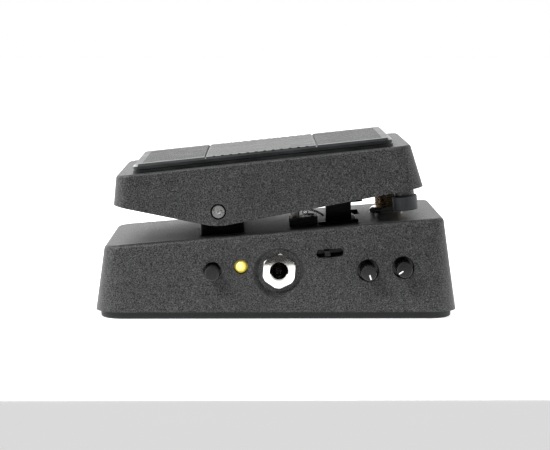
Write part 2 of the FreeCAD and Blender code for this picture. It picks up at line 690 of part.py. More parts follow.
ceiling = "(tread_rise - treadle_plate)"
bumper_top = "(bumper_height - bumper_low)"
tip_ahead = f"({switch_x} - plunger_out * sin(base_slope) - {pivot_x})"
tip_above = f"({base_top(switch_x)} + plunger_out * cos(base_slope) + striker_gap - pivot_height)"
striker_x = f"({tip_ahead} * cos(treadle_tilt) + {tip_above} * sin(treadle_tilt))"
striker_low = f"({tip_above} * cos(treadle_tilt) - {tip_ahead} * sin(treadle_tilt))"
arm_x = "(rack_arm * cos(treadle_tilt) + (pin_height - pivot_height) * sin(treadle_tilt))"
arm_z = "((pin_height - pivot_height) * cos(treadle_tilt) - rack_arm * sin(treadle_tilt))"
slot_middle = f"({arm_x} - pin_radius - pin_gap + pin_slot / 2)"
striker_top = f"({striker_low} + striker_height)"
heel_pad_top = "(heel_pad_rise + heel_pad_height)"
lumps = [
    cylinder("bumper_radius - 1", f"tread_rise - 1 - {bumper_top}", "bumper_reach", f"{sign} * bumper_side", bumper_top)
    for sign in (-1, 1)
]
lumps.append(cylinder("plunger_radius + 1", f"tread_rise - 1 - {striker_top}", striker_x, "0", striker_top))
lumps.append(box("6", "20", f"tread_rise - 1 - {heel_pad_top}", "-heel_pad_reach", "0", heel_pad_top))
for sign, way in ((-1, "Y"), (1, "-Y")):
    ear_start = f"{sign} * ({wide_at_pivot} - 1)"
    lumps.append(cylinder("ear_radius", "treadle_wall + ear_depth - 1", "0", ear_start, "0", way))
treadle_shell = fuse(cut(treadle_outer, treadle_hollow), common(fuse(*lumps), treadle_outer), *lumps[:2])
bush_radius = "(axle_radius + bush_gap + bush_wall)"
bush_hole = cylinder(f"{bush_radius}", "treadle_width * 2", "0", "-treadle_width", "0", "Y")
arm_holes = [cylinder("1.25", "2", slot_middle, f"-rack_side + {shift}", f"{ceiling}") for shift in ("-11", "11")]
treadle = cut(treadle_shell, bush_hole, *arm_holes)
keep("treadle_casting", on_treadle(treadle))

bushes = []
for sign, way in ((-1, "Y"), (1, "-Y")):
    start = f"{sign} * ({wide_at_pivot} - 0.5)"
    inner = f"{sign} * ({wide_at_pivot} - treadle_wall - ear_depth)"
    barrel = cylinder(bush_radius, "treadle_wall + ear_depth - 0.5", "0", start, "0", way)
    flange = cylinder("ear_radius - 1", "bush_flange", "0", inner, "0", way)
    bore = cylinder("axle_radius + bush_gap", "treadle_wall + ear_depth + 5", "0", start, "0", way)
    bushes.append(cut(fuse(barrel, flange), bore))
keep("axle_bushings", on_treadle(group(*bushes)))

bumpers = [cylinder("bumper_radius", "bumper_height", "bumper_reach", f"{sign} * bumper_side", "-bumper_low")
           for sign in (-1, 1)]
bumper_rounds = []
for bumper in bumpers:
    rounded = doc.addObject("Part::Fillet", "bumper_round")
    rounded.Base = bumper
    doc.recompute()
    rims = [i for i, edge in enumerate(bumper.Shape.Edges, start=1) if edge.BoundBox.XLength > 1
            and edge.BoundBox.ZLength < 0.01]
    rounded.Edges = [(i, 0.6, 0.6) for i in rims]
    bumper_rounds.append(rounded)
keep("toe_bumpers", on_treadle(group(*bumper_rounds)))
heel_block = box("6", "20", "heel_pad_height", "-heel_pad_reach", "0", "heel_pad_rise")
keep("heel_bumper", on_treadle(group(heel_block)))
striker = cylinder("plunger_radius + 0.5", "striker_height", striker_x, "0", striker_low)
keep("striker_pad", on_treadle(group(striker)))


# Tread pad: flange, groove and ribbed tread, with a middle panel notched along both edges.

def pad_slab(name, inset, low, thick):
    body = new_body(name)
    length = f"pad_length - 2 * ({inset})"
    width = f"pad_width - 2 * ({inset})"
    feature = pad(body, rounded_rectangle(body, length, width, f"pad_corner - ({inset})", low, pan_shift), thick)
    doc.recompute()
    return body, feature


pad_base = "(tread_rise)"
tread_base = f"({pad_base} + pad_flange + pad_groove)"
tread_top = f"({tread_base} + pad_tread)"
flange_body, flange_pad = pad_slab("pad_flange_body", "0", pad_base, "pad_flange")
neck_body, neck_pad = pad_slab("pad_neck_body", "pad_groove_depth", f"{pad_base} + pad_flange", "pad_groove")
tread_body, tread_pad = pad_slab("pad_tread_body", "0.2", tread_base, "pad_tread")
bevel = tread_body.newObject("PartDesign::Chamfer", "bevel")
bevel.Base = (tread_pad, edges_where(tread_pad, lambda edge: edge.BoundBox.ZMin > number(tread_top) - 0.01))
bind(bevel, Size="pad_bevel")
doc.recompute()
pad_heel = f"({pan_shift} - pad_length / 2)"
panel_heel = f"({pad_heel} + panel_start)"
panel_toe = f"({panel_heel} + panel_length)"
cut_low = f"{tread_top} - rib_depth"
cuts = []
outer_zones = (
    (f"({pad_heel} + 4)", panel_heel),
    (panel_toe, f"({pad_heel} + pad_length - 4)"),
)
rib_rows = int(number("(pad_width / 2 - pad_bevel - notch_reach - 2) / rib_pitch"))
for row in range(-rib_rows, rib_rows + 1):
    for start, end in outer_zones:
        cuts.append(box(f"{end} - {start}", "rib_cut", "rib_depth * 2", f"({start} + {end}) / 2",
                        f"{row} * rib_pitch", cut_low))
for row in range(-rib_rows, rib_rows + 1):
    cuts.append(box(f"{panel_toe} - {panel_heel} - 2 * panel_cut", "rib_cut / 2", "rib_depth",
                    f"({panel_heel} + {panel_toe}) / 2", f"{row} * rib_pitch", f"{tread_top} - rib_depth / 2"))
notches = int(number("panel_length / notch_pitch")) - 1
for notch in range(1, notches + 1):
    for side in (-1, 1):
        cuts.append(box("rib_cut", "notch_reach", "rib_depth * 2", f"{panel_heel} + {notch} * notch_pitch",
                        f"{side} * (pad_width / 2 - pad_bevel - notch_reach / 2)", cut_low))
for edge_x in (panel_heel, panel_toe):
    cuts.append(box("panel_cut", "pad_width + 1", "rib_depth * 2", edge_x, "0", cut_low))
cutters = doc.addObject("Part::Compound", "tread_cutters")
cutters.Links = cuts
keep("tread_pad", on_treadle(cut(fuse(flange_body, neck_body, tread_body), *cuts)))


# Rack: an arm under the treadle lifts a toothed bar through a guide in the base top.

pin_length = "(rack_width + 8)"
arm_gap = "(rack_width / 2 + 0.4)"
ears = [box("pin_slot + 4", "3", f"{ceiling} - 2 - {arm_z} + 5.2", slot_middle,
            f"-rack_side + {sign} * ({arm_gap} + 1.5)", f"{arm_z} - 5.2") for sign in (-1, 1)]
arm_plate = box("pin_slot + 4", "28", "2", slot_middle, "-rack_side", f"{ceiling} - 2")
pin_room = box("pin_slot", "rack_width * 3", "2 * pin_radius + 2 * pin_gap + pin_drop", slot_middle, "-rack_side",
               f"{arm_z} - pin_radius - pin_gap - pin_drop")
arm_screw_holes = [cylinder("1.4", "4", slot_middle, f"-rack_side + {shift}", f"{ceiling} - 3")
                   for shift in ("-11", "11")]
keep("rack_arm_bracket", on_treadle(cut(fuse(arm_plate, *ears), pin_room, *arm_screw_holes)))
arm_screws = []
for shift in ("-11", "11"):
    shank = cylinder("1.25", "4", slot_middle, f"-rack_side + {shift}", f"{ceiling} - 2.2")
    head = cylinder("2.4", "1.4", slot_middle, f"-rack_side + {shift}", f"{ceiling} - 3.4")
    arm_screws.append(cut(fuse(shank, head), box("3", "0.6", "0.8", slot_middle, f"-rack_side + {shift}",
                                                 f"{ceiling} - 3.5")))
keep("rack_arm_screws", on_treadle(group(*arm_screws)))
keep("rack_pin", cylinder("pin_radius", pin_length, rack_x, f"-rack_side - {pin_length} / 2", "pin_height", "Y"))


def rack_outline():
    """Side outline of the toothed bar, worked out from the module and the tooth count."""
    size = number("gear_size")
    pitch = math.pi * size
    face = number(rack_face)
    addendum = 0.9 * size
    dedendum = 1.3 * size
    lean = math.tan(math.radians(20))
    half_tooth = pitch / 4 - number("backlash") / 4
    tip_half = half_tooth - addendum * lean
    root_half = half_tooth + dedendum * lean
    centre = number(gear_height)
    low, high = number("rack_foot"), number("pin_height + 3.2")
    heel = number(f"{rack_x} - rack_length / 2")
    root = face - addendum - dedendum
    points = [Vector(heel, 0, low), Vector(root, 0, low)]
    first = math.ceil((low + 1 - centre) / pitch)
    tip_height = number(f"{pitch_radius} + 2 * gear_size")
    last = math.floor(tip_height / pitch)
    for tooth in range(first, last + 1):
        middle = centre + tooth * pitch
        points += [
            Vector(root, 0, middle - root_half),
            Vector(face, 0, middle - tip_half),
            Vector(face, 0, middle + tip_half),
            Vector(root, 0, middle + root_half),
        ]
    top_tooth = centre + last * pitch + pitch / 2 + 1
    points += [Vector(root, 0, top_tooth - 1), Vector(face, 0, top_tooth), Vector(face, 0, high), Vector(heel, 0, high)]
    return points


def prism_between(points, near, far):
    face = Part.Face(Part.makePolygon(points + points[:1]))
    face.translate(Vector(0, near, 0))
    return face.extrude(Vector(0, far - near, 0))


rack_blank = doc.addObject("Part::Feature", "rack_blank")
rack_blank.Shape = prism_between(rack_outline(), number("-rack_side - rack_width / 2"),
                                 number("-rack_side + rack_width / 2"))
rack_bore = cylinder("pin_radius", "rack_width * 2", rack_x, "-rack_side - rack_width", "pin_height", "Y")
keep("rack", cut(rack_blank, rack_bore))


def pinion_outline():
    """Involute teeth about the pinion axis, with a gap between teeth facing the rack at mid-height."""
    size = number("gear_size")
    teeth = int(number("gear_teeth"))
    pitch_r = size * teeth / 2
    base_r = pitch_r * math.cos(math.radians(20))
    tip_r = pitch_r + 0.85 * size
    root_r = pitch_r - 1.15 * size
    roll = math.tan(math.radians(20)) - math.radians(20)
    half_at_pitch = math.pi / 2 / teeth - number("backlash") / 4 / pitch_r
    points = []
    start_r = max(base_r, root_r)
    for tooth in range(teeth):
        middle = math.pi + (tooth + 0.5) * 2 * math.pi / teeth
        flank = []
        for step in range(5):
            radius = start_r + (tip_r - start_r) * step / 4
            angle = math.acos(min(1, base_r / radius))
            spread = half_at_pitch + roll - (math.tan(angle) - angle)
            flank.append((radius, spread))
        root_spread = flank[0][1]
        if root_r < start_r:
            flank.insert(0, (root_r, root_spread))
        points += [(r, middle - s) for r, s in flank]
        points += [(r, middle + s) for r, s in reversed(flank)]
    x, z = number(pinion_x), number(gear_height)
    return [Vector(x + r * math.cos(a), 0, z + r * math.sin(a)) for r, a in points]


pinion_blank = doc.addObject("Part::Feature", "pinion_blank")
pinion_blank.Shape = prism_between(pinion_outline(), number(gear_near), number(gear_far))
keep("pinion", cut(pinion_blank, cylinder("shaft_radius", "gear_width * 2", pinion_x, f"{gear_near} - 1",
                                          gear_height, "Y")))

can_y = f"({bracket_y} + 1.5)"
keep("sweep_shaft", group(cylinder("shaft_radius", f"{can_y} + 2 - ({gear_near})", pinion_x, gear_near,
                                   gear_height, "Y")))
sweep_nut = hexagon("11", "1.8", pinion_x, f"{bracket_y} - 1.8", gear_height, "Y")
keep("sweep_nut", cut(sweep_nut, cylinder("shaft_radius + 0.9", "6", pinion_x, f"{bracket_y} - 3",
                                          gear_height, "Y")))
can = cylinder("wash_radius", "wash_depth", pinion_x, can_y, gear_height, "Y")
sleeve = cylinder("shaft_radius + 0.9", "3.8", pinion_x, f"{bracket_y} - 2.3", gear_height, "Y")
lugs = [box("1.6", "0.6", "7", f"{pinion_x} + {shift}", f"{can_y} + 2", f"{gear_height} - wash_radius - 4")
        for shift in ("-4", "0", "4")]
shaft_room = cylinder("shaft_radius + bush_gap", "6.5", pinion_x, f"{bracket_y} - 3", gear_height, "Y")
keep("sweep_pot", cut(fuse(can, sleeve, *lugs), shaft_room))

bracket_plate = box("14", "1.5", f"{base_top(pinion_x, 'base_wall')} - {gear_height} + 6", pinion_x,
                    f"{bracket_y} + 0.75", f"{gear_height} - 6")
bracket_flange = on_slope("24", "7.5", "1.5", pinion_x, f"{bracket_y} + 3.75", "-base_wall - 1.5")
bracket_tabs = common(fuse(bracket_plate, bracket_flange), wedge("under_top", "base_wall", "base_wall"))
bracket_bore = cylinder("shaft_radius + 0.9", "6", pinion_x, f"{bracket_y} - 3", gear_height, "Y")
bracket_holes = [cylinder("1", "8", spot, bracket_screw_y, f"{base_top(spot, 'base_wall')} - 6")
                 for spot in bracket_spots]
keep("pot_bracket", cut(bracket_tabs, bracket_bore, *bracket_holes))

guide_neck = on_slope("rack_length + 4 - 2 * fit_gap", "rack_width + 4 - 2 * fit_gap", "base_wall + 2.5", rack_x,
                      "-rack_side", "-base_wall - 2.5")
guide_rim = on_slope("rack_length + 6", "rack_width + 6.5", "guide_flange", rack_x, "-rack_side", "0")
rack_room = box("rack_length + 2 * rack_gap", "rack_width + 2 * rack_gap", "30", rack_x, "-rack_side",
                f"{base_top(rack_x)} - 15")
keep("rack_guide", cut(fuse(guide_neck, guide_rim), rack_room))

shoe_x = f"({rack_face} + rack_gap)"
shoe_rod = cylinder("shoe_radius", "rack_width", shoe_x, "-rack_side - rack_width / 2",
                    f"{base_top(shoe_x)} + guide_flange", "Y")
shoe_seat = on_slope("shoe_radius * 2", "rack_width * 2", "shoe_radius * 2", f"({shoe_x} + shoe_radius)", "-rack_side",
                     "guide_flange + press_gap")
shoe_room = box("shoe_radius * 3", "rack_width * 2", "shoe_radius * 3", f"{shoe_x} + shoe_radius * 1.5", "-rack_side",
                f"{base_top(shoe_x)}")
keep("guide_shoe", common(common(shoe_rod, shoe_seat), shoe_room))

tension_body = on_slope("14", "9", "3.6", f"{tension_x} - 0.6", "-rack_side", "0")
screw_x = f"({tension_x} - tension_screw)"
tension_hole = cylinder("1.2", "base_wall * 6", screw_x, "-rack_side", f"{base_top(screw_x)} - base_wall * 2")
tension_trim = box("4", "20", "20", f"{rack_x} - rack_length / 2 - 1.4", "-rack_side", f"{base_top(tension_x)} - 8")
keep("tension_block", cut(tension_body, tension_trim, tension_hole))
small_screws = []
for spot in bracket_spots:
    shank = cylinder("1", "3.4", spot, bracket_screw_y, f"{base_top(spot, 'base_wall')} - 1.9")
    head = cylinder("1.8", "1", spot, bracket_screw_y, f"{base_top(spot, 'base_wall')} - 2.7")
    small_screws.append(fuse(shank, head))


# Tension spring: a coil on the block, whose long arm curves towards the rack.

spring_x = f"({tension_x} - 1.3)"
spring_z = f"({base_top(tension_x)} + 3.6 + fit_gap + tension_coil + tension_wire)"
coil_side = "(tension_wire * 3)"
coil_body = cut(
    cylinder("tension_coil + tension_wire", f"2 * {coil_side}", spring_x, f"-rack_side - {coil_side}", spring_z, "Y"),
    cylinder("tension_coil - tension_wire", "rack_width", spring_x, "-rack_side - rack_width / 2", spring_z, "Y"))
arm_reach = f"({rack_x} - rack_length / 2 - clear_gap - tension_wire - {spring_x})"
spring_arm = doc.addObject("Part::Torus", "spring_arm")
bind(spring_arm, Radius1="tension_bend", Radius2="tension_wire * 0.9", Angle3=f"asin({arm_reach} / tension_bend)")
spring_arm.Placement = Placement(Vector(), Rotation(Vector(0, 0, 1), Vector(1, 0, 0), Vector(0, 1, 0), "XYZ"))
bind(spring_arm, Placement_at_Base_at_x=spring_x, Placement_at_Base_at_y="-rack_side + tension_wire * 2",
     Placement_at_Base_at_z=f"{spring_z} + tension_coil - tension_bend")
spring_tail = cylinder("tension_wire * 0.9", "3.6", spring_x, "-rack_side - tension_wire * 2",
                       f"{spring_z} - tension_coil", "X")
keep("tension_spring", fuse(coil_body, spring_arm, spring_tail))
small_screws.append(fuse(
    cylinder("1.2", "base_wall + 3.2", screw_x, "-rack_side", f"{base_top(screw_x)} - base_wall * 0.5"),
    cylinder("1.9", "1.8", screw_x, "-rack_side", f"{base_top(screw_x)} + 3.6 + fit_gap * 1.2")))


# Footswitch: it stands square to the sloping top, in its own frame.

def threaded_sleeve(outer, inner, low, high, pitch):
    """A tube with round V-grooves, which stands for a screw thread."""
    outer_r, inner_r, bottom, top, step = (number(text) for text in (outer, inner, low, high, pitch))
    groove = step * 0.45
    points = [Vector(inner_r, 0, bottom), Vector(outer_r - groove, 0, bottom)]
    turns_of_thread = int((top - bottom) / step)
    margin = (top - bottom - turns_of_thread * step) / 2
    for turn in range(turns_of_thread):
        z = bottom + margin + turn * step
        points.append(Vector(outer_r - groove, 0, z))
        points.append(Vector(outer_r, 0, z + step * 0.4))
        points.append(Vector(outer_r, 0, z + step * 0.6))
    points += [Vector(outer_r - groove, 0, top), Vector(inner_r, 0, top)]
    face = Part.Face(Part.makePolygon(points + points[:1]))
    return face.revolve(Vector(), Vector(0, 0, 1), 360)


switch_low = "(-base_wall - 1.2)"
switch_body = box("17", "12", "15", "0", "0", f"{switch_low} - 15")
plunger_well = cylinder("plunger_radius * 0.5 + clear_gap", "6", "0", "0", f"{switch_low} - 5.9")
keep("footswitch_body", on_switch(cut(switch_body, plunger_well)))
sleeve_shape = doc.addObject("Part::Feature", "footswitch_thread")
sleeve_shape.Shape = threaded_sleeve("switch_thread", "plunger_radius + 0.1", switch_low, "switch_out", "0.9")
keep("footswitch_bushing", on_switch(group(sleeve_shape)))
washer = cut(cylinder("switch_thread + 2.4", "0.6", "0", "0", "0"), cylinder("switch_thread", "3", "0", "0", "-1"))
keep("footswitch_washer", on_switch(washer))
nut = common(hexagon("switch_nut", "2.2", "0", "0", "0.6"),
             cone("switch_nut / 2 + 3", "switch_nut / 2", "3", "0", "0", "0"))
keep("footswitch_nut", on_switch(cut(nut, cylinder("switch_thread", "6", "0", "0", "-1"))))
plunger_head = cylinder("plunger_radius", "plunger_out - 3", "0", "0", "3")
plunger_crown = doc.addObject("Part::Fillet", "plunger_crown")
plunger_crown.Base = plunger_head
doc.recompute()
crown_edge = [i for i, edge in enumerate(plunger_head.Shape.Edges, start=1)
              if edge.BoundBox.ZMin > number("plunger_out") - 0.01]
plunger_crown.Edges = [(i, 1, 1) for i in crown_edge]
plunger_stem = cylinder("plunger_radius * 0.5", f"5.5 - {switch_low}", "0", "0", f"{switch_low} - 2.5")
keep("footswitch_plunger", on_switch(fuse(plunger_crown, plunger_stem)))
switch_lugs = [box("0.8", "2.4", "4", f"{along} * 4.8", f"{across} * 3", f"{switch_low} - 19")
               for along in (-1, 0, 1) for across in (-1, 1)]
keep("footswitch_lugs", on_switch(group(*switch_lugs)))


# Jacks: one in each side wall.

jack_pieces = {"jack_nuts": [], "jack_sleeves": [], "jack_housings": [], "jack_contacts": []}
solder_pins = []


def jack(side):
    out, inward = ("-Y", "Y") if side < 0 else ("Y", "-Y")
    face = f"{side} * {dish_face}"
    mouth = f"{side} * ({dish_face} + jack_nut_thick)"
    back = f"{side} * ({dish_face} - base_wall)"
    turn = "30 - jack_nut_turn"
    ring = common(hexagon("jack_nut", "jack_nut_thick", jack_x, face, "jack_height", out, turn),
                  cone("jack_nut / 2 + 2.4", "jack_nut / 2 + 0.4", "jack_nut_thick", jack_x, face, "jack_height", out))
    nut_hole = cylinder("jack_thread", "jack_nut_thick * 3", jack_x, f"{side} * ({dish_face} - jack_nut_thick)",
                        "jack_height", out)
    jack_pieces["jack_nuts"].append(cut(ring, nut_hole))
    barrel = cylinder("jack_thread", "jack_sleeve", jack_x, mouth, "jack_height", inward)
    bore = cylinder("jack_bore", "jack_sleeve * 2", jack_x, mouth, "jack_height", inward)
    flare = cone("jack_bore + 0.5", "jack_bore", "0.5", jack_x, mouth, "jack_height", inward)
    jack_pieces["jack_sleeves"].append(cut(barrel, bore, flare))
    middle = f"{side} * ({dish_face} - base_wall - housing_depth / 2)"
    block = box("housing_length", "housing_depth", "housing_height", jack_x, middle,
                "jack_height - housing_height / 2")
    seat = cylinder("jack_thread", "jack_sleeve - jack_nut_thick - base_wall", jack_x, back, "jack_height", inward)
    chamber = cylinder("jack_bore + 1", "housing_depth - 2", jack_x, back, "jack_height", inward)
    jack_pieces["jack_housings"].append(cut(block, seat, chamber))
    for level in ("2.6", "-2.95"):
        strip_middle = f"{side} * ({dish_face} - base_wall - housing_depth + 7.5)"
        strip = box("2.2", "11", "0.35", jack_x, strip_middle, f"jack_height + {level}")
        jack_pieces["jack_contacts"].append(strip)
    solder_pins.extend(box("1", "1.2", "jack_height - housing_height / 2 - board_height - board_thick",
                f"{jack_x} + {shift}", f"{side} * ({dish_face} - base_wall - {deep})", "board_height + board_thick")
            for shift, deep in (("-4", "8"), ("4", "8"), ("-4", "19"), ("4", "19")))


for side in (-1, 1):
    jack(side)
for name, pieces in jack_pieces.items():
    keep(name, group(*pieces))

inlet_x = along_base("inlet_place")
inlet_back = f"({wall_face('inlet_height + 5')} - base_wall - 0.1)"
inlet_block = box("9", "13", "inlet_height - board_height - board_thick + 5", inlet_x, f"{inlet_back} - 6.5",
                  "board_height + board_thick")
inlet_collar = cylinder("inlet_radius", "4", inlet_x, f"{wall_face('inlet_height')} - 0.3", "inlet_height", "-Y")
inlet_room = cylinder("inlet_bore", "10", inlet_x, f"{wall_face('inlet_height')} - 0.2", "inlet_height", "-Y")
keep("power_inlet", cut(fuse(inlet_block, inlet_collar), inlet_room))
keep("power_pin", group(cylinder("1.05", "8", inlet_x, f"{wall_face('inlet_height')} - 10.2", "inlet_height", "Y")))


# Push button and lamp.

board_face = "(-board_behind)"
button_x = along_base("button_place")
button_front = f"({wall_face('button_height')} + button_out)"
cap = cylinder("button_radius", f"{button_front} - board_behind - 6", button_x, f"-{button_front}", "button_height", "Y")
cap_bevel = doc.addObject("Part::Chamfer", "button_bevel")
cap_bevel.Base = cap
doc.recompute()
front_edge = [i for i, edge in enumerate(cap.Shape.Edges, start=1) if edge.BoundBox.YMax < number(f"-{button_front}") + 0.01]
cap_bevel.Edges = [(i, 0.45, 0.45) for i in front_edge]
cap_stem = cylinder("1.2", "4", button_x, f"{board_face} - 7", "button_height", "Y")
keep("button_cap", fuse(cap_bevel, cap_stem))
button_box = box("7", "4.4", "7", button_x, f"{board_face} - 2.2", "button_height - 3.5")
keep("push_switch", cut(button_box, cylinder("1.2 + bush_gap", "4.3", button_x, f"{board_face} - 4.4", "button_height", "Y")))

lamp_x = along_base("lamp_place")
lamp_front = f"({wall_face('lamp_height')} - 0.1)"
lens_rod = cylinder("lamp_radius", f"{lamp_front} - board_behind - 2", lamp_x, f"-{lamp_front}", "lamp_height", "Y")
lens_round = doc.addObject("Part::Fillet", "lens_round")
lens_round.Base = lens_rod
doc.recompute()
front_edge = [i for i, edge in enumerate(lens_rod.Shape.Edges, start=1)
              if edge.BoundBox.YMax < number(f"-{lamp_front}") + 0.01]
lens_round.Edges = [(i, 1.6, 1.6) for i in front_edge]
lens_foot = cylinder("lamp_radius + 0.4", "1", lamp_x, f"{board_face} - 3", "lamp_height", "Y")
keep("lamp_lens", fuse(lens_round, lens_foot))
solder_pins.extend(box("0.5", "2", "0.5", f"{lamp_x} + {shift}", f"{board_face} - 1", "lamp_height - 0.25")
                   for shift in ("-1.27", "1.27"))
keep("solder_pins", group(*solder_pins))


# Slide switch, in a frame that follows the slope.

def on_slot(thing):
    return lean(thing, "base_slope", along_base("slot_place"), "slot_height")


slot_front = wall_face("slot_height")
slide_box = box("14", "4.6", "6", "0", f"{board_face} - 2.3", "-3")
slide_room = box("slot_length - 1", "3", "slot_width - 1", "0", f"{board_face} - 3.6", "-slot_width / 2 + 0.5")
keep("range_switch", on_slot(cut(slide_box, slide_room)))
slider_stem = box("slider_width", f"{slot_front} + 0.9 - board_behind - 2.4", "slot_width - 1.2", "-slider_offset",
                  f"-({slot_front} + 0.9 + board_behind + 2.4) / 2", "-slot_width / 2 + 0.6")
keep("range_slider", on_slot(group(slider_stem)))


# Knobs on small potentiometers.

def knob(name, spot, height, pointer_angle):
    """A fluted knob; its pointer line lies at an angle from straight down, clockwise as seen from outside."""
    x = along_base(spot)
    front = f"({wall_face(height)} + knob_out)"
    rod = cylinder("knob_radius", "knob_out + 2.4", x, f"-{front}", height, "Y")
    rim = doc.addObject("Part::Chamfer", "knob_rim")
    rim.Base = rod
    doc.recompute()
    edge_numbers = [i for i, edge in enumerate(rod.Shape.Edges, start=1)
                    if edge.BoundBox.YMax < number(f"-{front}") + 0.01]
    rim.Edges = [(i, 0.35, 0.35) for i in edge_numbers]
    flutes = []
    count = 18
    for flute in range(count):
        angle = f"{flute} * 360 / {count} + 10"
        flutes.append(cylinder("0.22", "knob_out + 1", f"{x} + (knob_radius + 0.08) * cos({angle})",
                               f"-{front} + 0.8", f"{height} + (knob_radius + 0.08) * sin({angle})", "Y"))
    line = doc.addObject("Part::Box", "pointer")
    bind(line, Length="0.55", Width="0.4", Height="knob_radius - 1.1")
    line.Placement = Placement(Vector(), Rotation(Vector(0, 1, 0), pointer_angle + 180))
    turned = pointer_angle + 180
    bind(line, Placement_at_Base_at_x=f"{x} + 0.75 * sin({turned}) - 0.275 * cos({turned})")
    bind(line, Placement_at_Base_at_y=f"-{front} - 0.02")
    bind(line, Placement_at_Base_at_z=f"{height} + 0.75 * cos({turned}) + 0.275 * sin({turned})")
    keep(f"{name}_knob", cut(rim, *flutes, line))
    mark = doc.addObject("Part::Feature", "mark")
    doc.recompute()
    mark.Shape = line.Shape.copy()
    keep(f"{name}_pointer", mark)
    shaft_back = "(board_behind + 3)"
    keep(f"{name}_shaft", group(cylinder("1.5", f"{wall_face(height)} - 2.4 - {shaft_back}", x,
                                         f"-{shaft_back}", height, "-Y")))
    block = box("9.6", "5", "10", x, f"{board_face} - 2.5", f"{height} - 5")
    knob_pots.append(cut(block, cylinder("1.5 + bush_gap", "4", x, f"{board_face} - 2.9", height, "-Y")))


knob_pots = []
knob("volume", "volume_place", "volume_height", -17)
knob("tone", "tone_place", "tone_height", 56.5)
keep("knob_pots", group(*knob_pots))


# Circuit boards and what stands on them.

board_top = "(board_height + board_thick)"
main_heel = "(-base_length / 2 + boss_inset + plate_boss + 2)"
main_toe = f"({rack_x} - rack_length / 2 - 2.2)"
board_holes = [(f"{main_heel} + 6", "-20"), (f"{main_heel} + 6", "20"), (f"{main_toe} - 6", "0")]
main_blank = box(f"{main_toe} - {main_heel}", "base_width - 20", "board_thick", f"({main_heel} + {main_toe}) / 2", "0",
                 "board_height")
keep("main_board", cut(main_blank, *[cylinder("1.3", "6", x, y, "board_height - 2") for x, y in board_holes]))
keep("board_standoffs", group(*[
    cut(cylinder("2.4", f"board_height - {plate_top}", x, y, plate_top),
        cylinder("1.25", "board_height", x, y, f"{plate_top} + 0.5")) for x, y in board_holes
]))
small_screws.extend(
    fuse(cylinder("1.25", "4", x, y, f"{board_top} - 4"), cylinder("2.2", "1.2", x, y, board_top))
    for x, y in board_holes
)
keep("small_screws", group(*small_screws))
keep("button_board", box("23", "board_thick", f"lamp_height + 7 - {board_top}", f"({button_x} + {lamp_x}) / 2",
                         f"{board_face} + board_thick / 2", board_top))
control_heel = f"({along_base('slot_place')} - 7.5)"
control_toe = f"({along_base('tone_place')} + 6)"
keep("control_board", box(f"{control_toe} - {control_heel}", "board_thick", f"slot_height + 5 - {board_top}",
                          f"({control_heel} + {control_toe}) / 2", f"{board_face} + board_thick / 2",
                          f"{board_top}"))
can_rod = cylinder("7", "9.5", f"{main_heel} + 16", "6", board_top)
keep("inductor", cut(can_rod, cylinder("1.4", "3", f"{main_heel} + 16", "6", f"{board_top} + 8")))
capacitors = [
    cylinder(radius, height, f"{main_heel} + {x}", y, board_top)
    for radius, height, x, y in (("2.5", "7", "8", "-8"), ("2.5", "7", "15", "-12"), ("3.2", "9", "30", "10"),
                                 ("3.2", "9", "38", "4"), ("2.5", "7", "32", "-6"))
]
films = [box("7.2", "2.5", "6.5", f"{main_heel} + {x}", y, board_top)
         for x, y in (("24", "-16"), ("24", "-20.5"), ("30", "21"), ("60", "4"))]
keep("capacitors", group(*capacitors, *films))


# Checks and files.

doc.recompute()
faults = [thing.Name for thing in doc.Objects if {"Invalid", "Error"} & set(thing.State)]
for name, thing in nodes.items():
    shape = thing.Shape
    if shape.isNull() or not shape.isValid() or not shape.Solids or shape.Volume <= 0:
        faults.append(f"{name}: no sound solid")
if faults:
    raise RuntimeError(", ".join(faults))
os.makedirs("parts", exist_ok=True)
for name, thing in nodes.items():
    thing.Shape.exportStep(f"parts/{name}.step")
print(len(nodes), "sub-parts")
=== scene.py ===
import math

import bpy
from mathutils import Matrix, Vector


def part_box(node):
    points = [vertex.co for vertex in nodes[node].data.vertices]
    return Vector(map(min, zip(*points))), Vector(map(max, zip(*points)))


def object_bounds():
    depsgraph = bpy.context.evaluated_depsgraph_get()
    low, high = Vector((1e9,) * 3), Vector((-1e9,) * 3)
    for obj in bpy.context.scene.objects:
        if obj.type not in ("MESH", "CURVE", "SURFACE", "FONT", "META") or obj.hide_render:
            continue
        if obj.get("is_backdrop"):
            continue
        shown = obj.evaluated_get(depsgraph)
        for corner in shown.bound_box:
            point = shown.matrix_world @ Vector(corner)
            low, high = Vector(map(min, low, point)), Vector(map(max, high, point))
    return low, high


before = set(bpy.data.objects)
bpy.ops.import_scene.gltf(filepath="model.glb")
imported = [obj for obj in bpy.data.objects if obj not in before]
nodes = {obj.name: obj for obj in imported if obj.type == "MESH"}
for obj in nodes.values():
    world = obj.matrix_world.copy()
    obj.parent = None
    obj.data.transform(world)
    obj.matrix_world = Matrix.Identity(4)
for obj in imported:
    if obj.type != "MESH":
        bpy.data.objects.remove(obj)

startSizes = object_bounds()
print("frame loaded:", len(nodes), "nodes")


# sRGB hex to the linear colour that the sockets take
def linear(hexColour):
    channels = [int(hexColour[start:start + 2], 16) / 255 for start in (1, 3, 5)]
    return tuple(c / 12.92 if c <= 0.04045 else ((c + 0.055) / 1.055) ** 2.4 for c in channels) + (1,)


# adds one node: settings go to sockets by name or number, or to the node itself, and links join sockets
def addNode(tree, kind, settings=None, links=None):
    made = tree.nodes.new(kind)
    for key, value in (settings or {}).items():
        if isinstance(key, int) or key in made.inputs:
            made.inputs[key].default_value = value
        else:
            setattr(made, key, value)
    for key, source in (links or {}).items():
        tree.links.new(source, made.inputs[key])
    return made


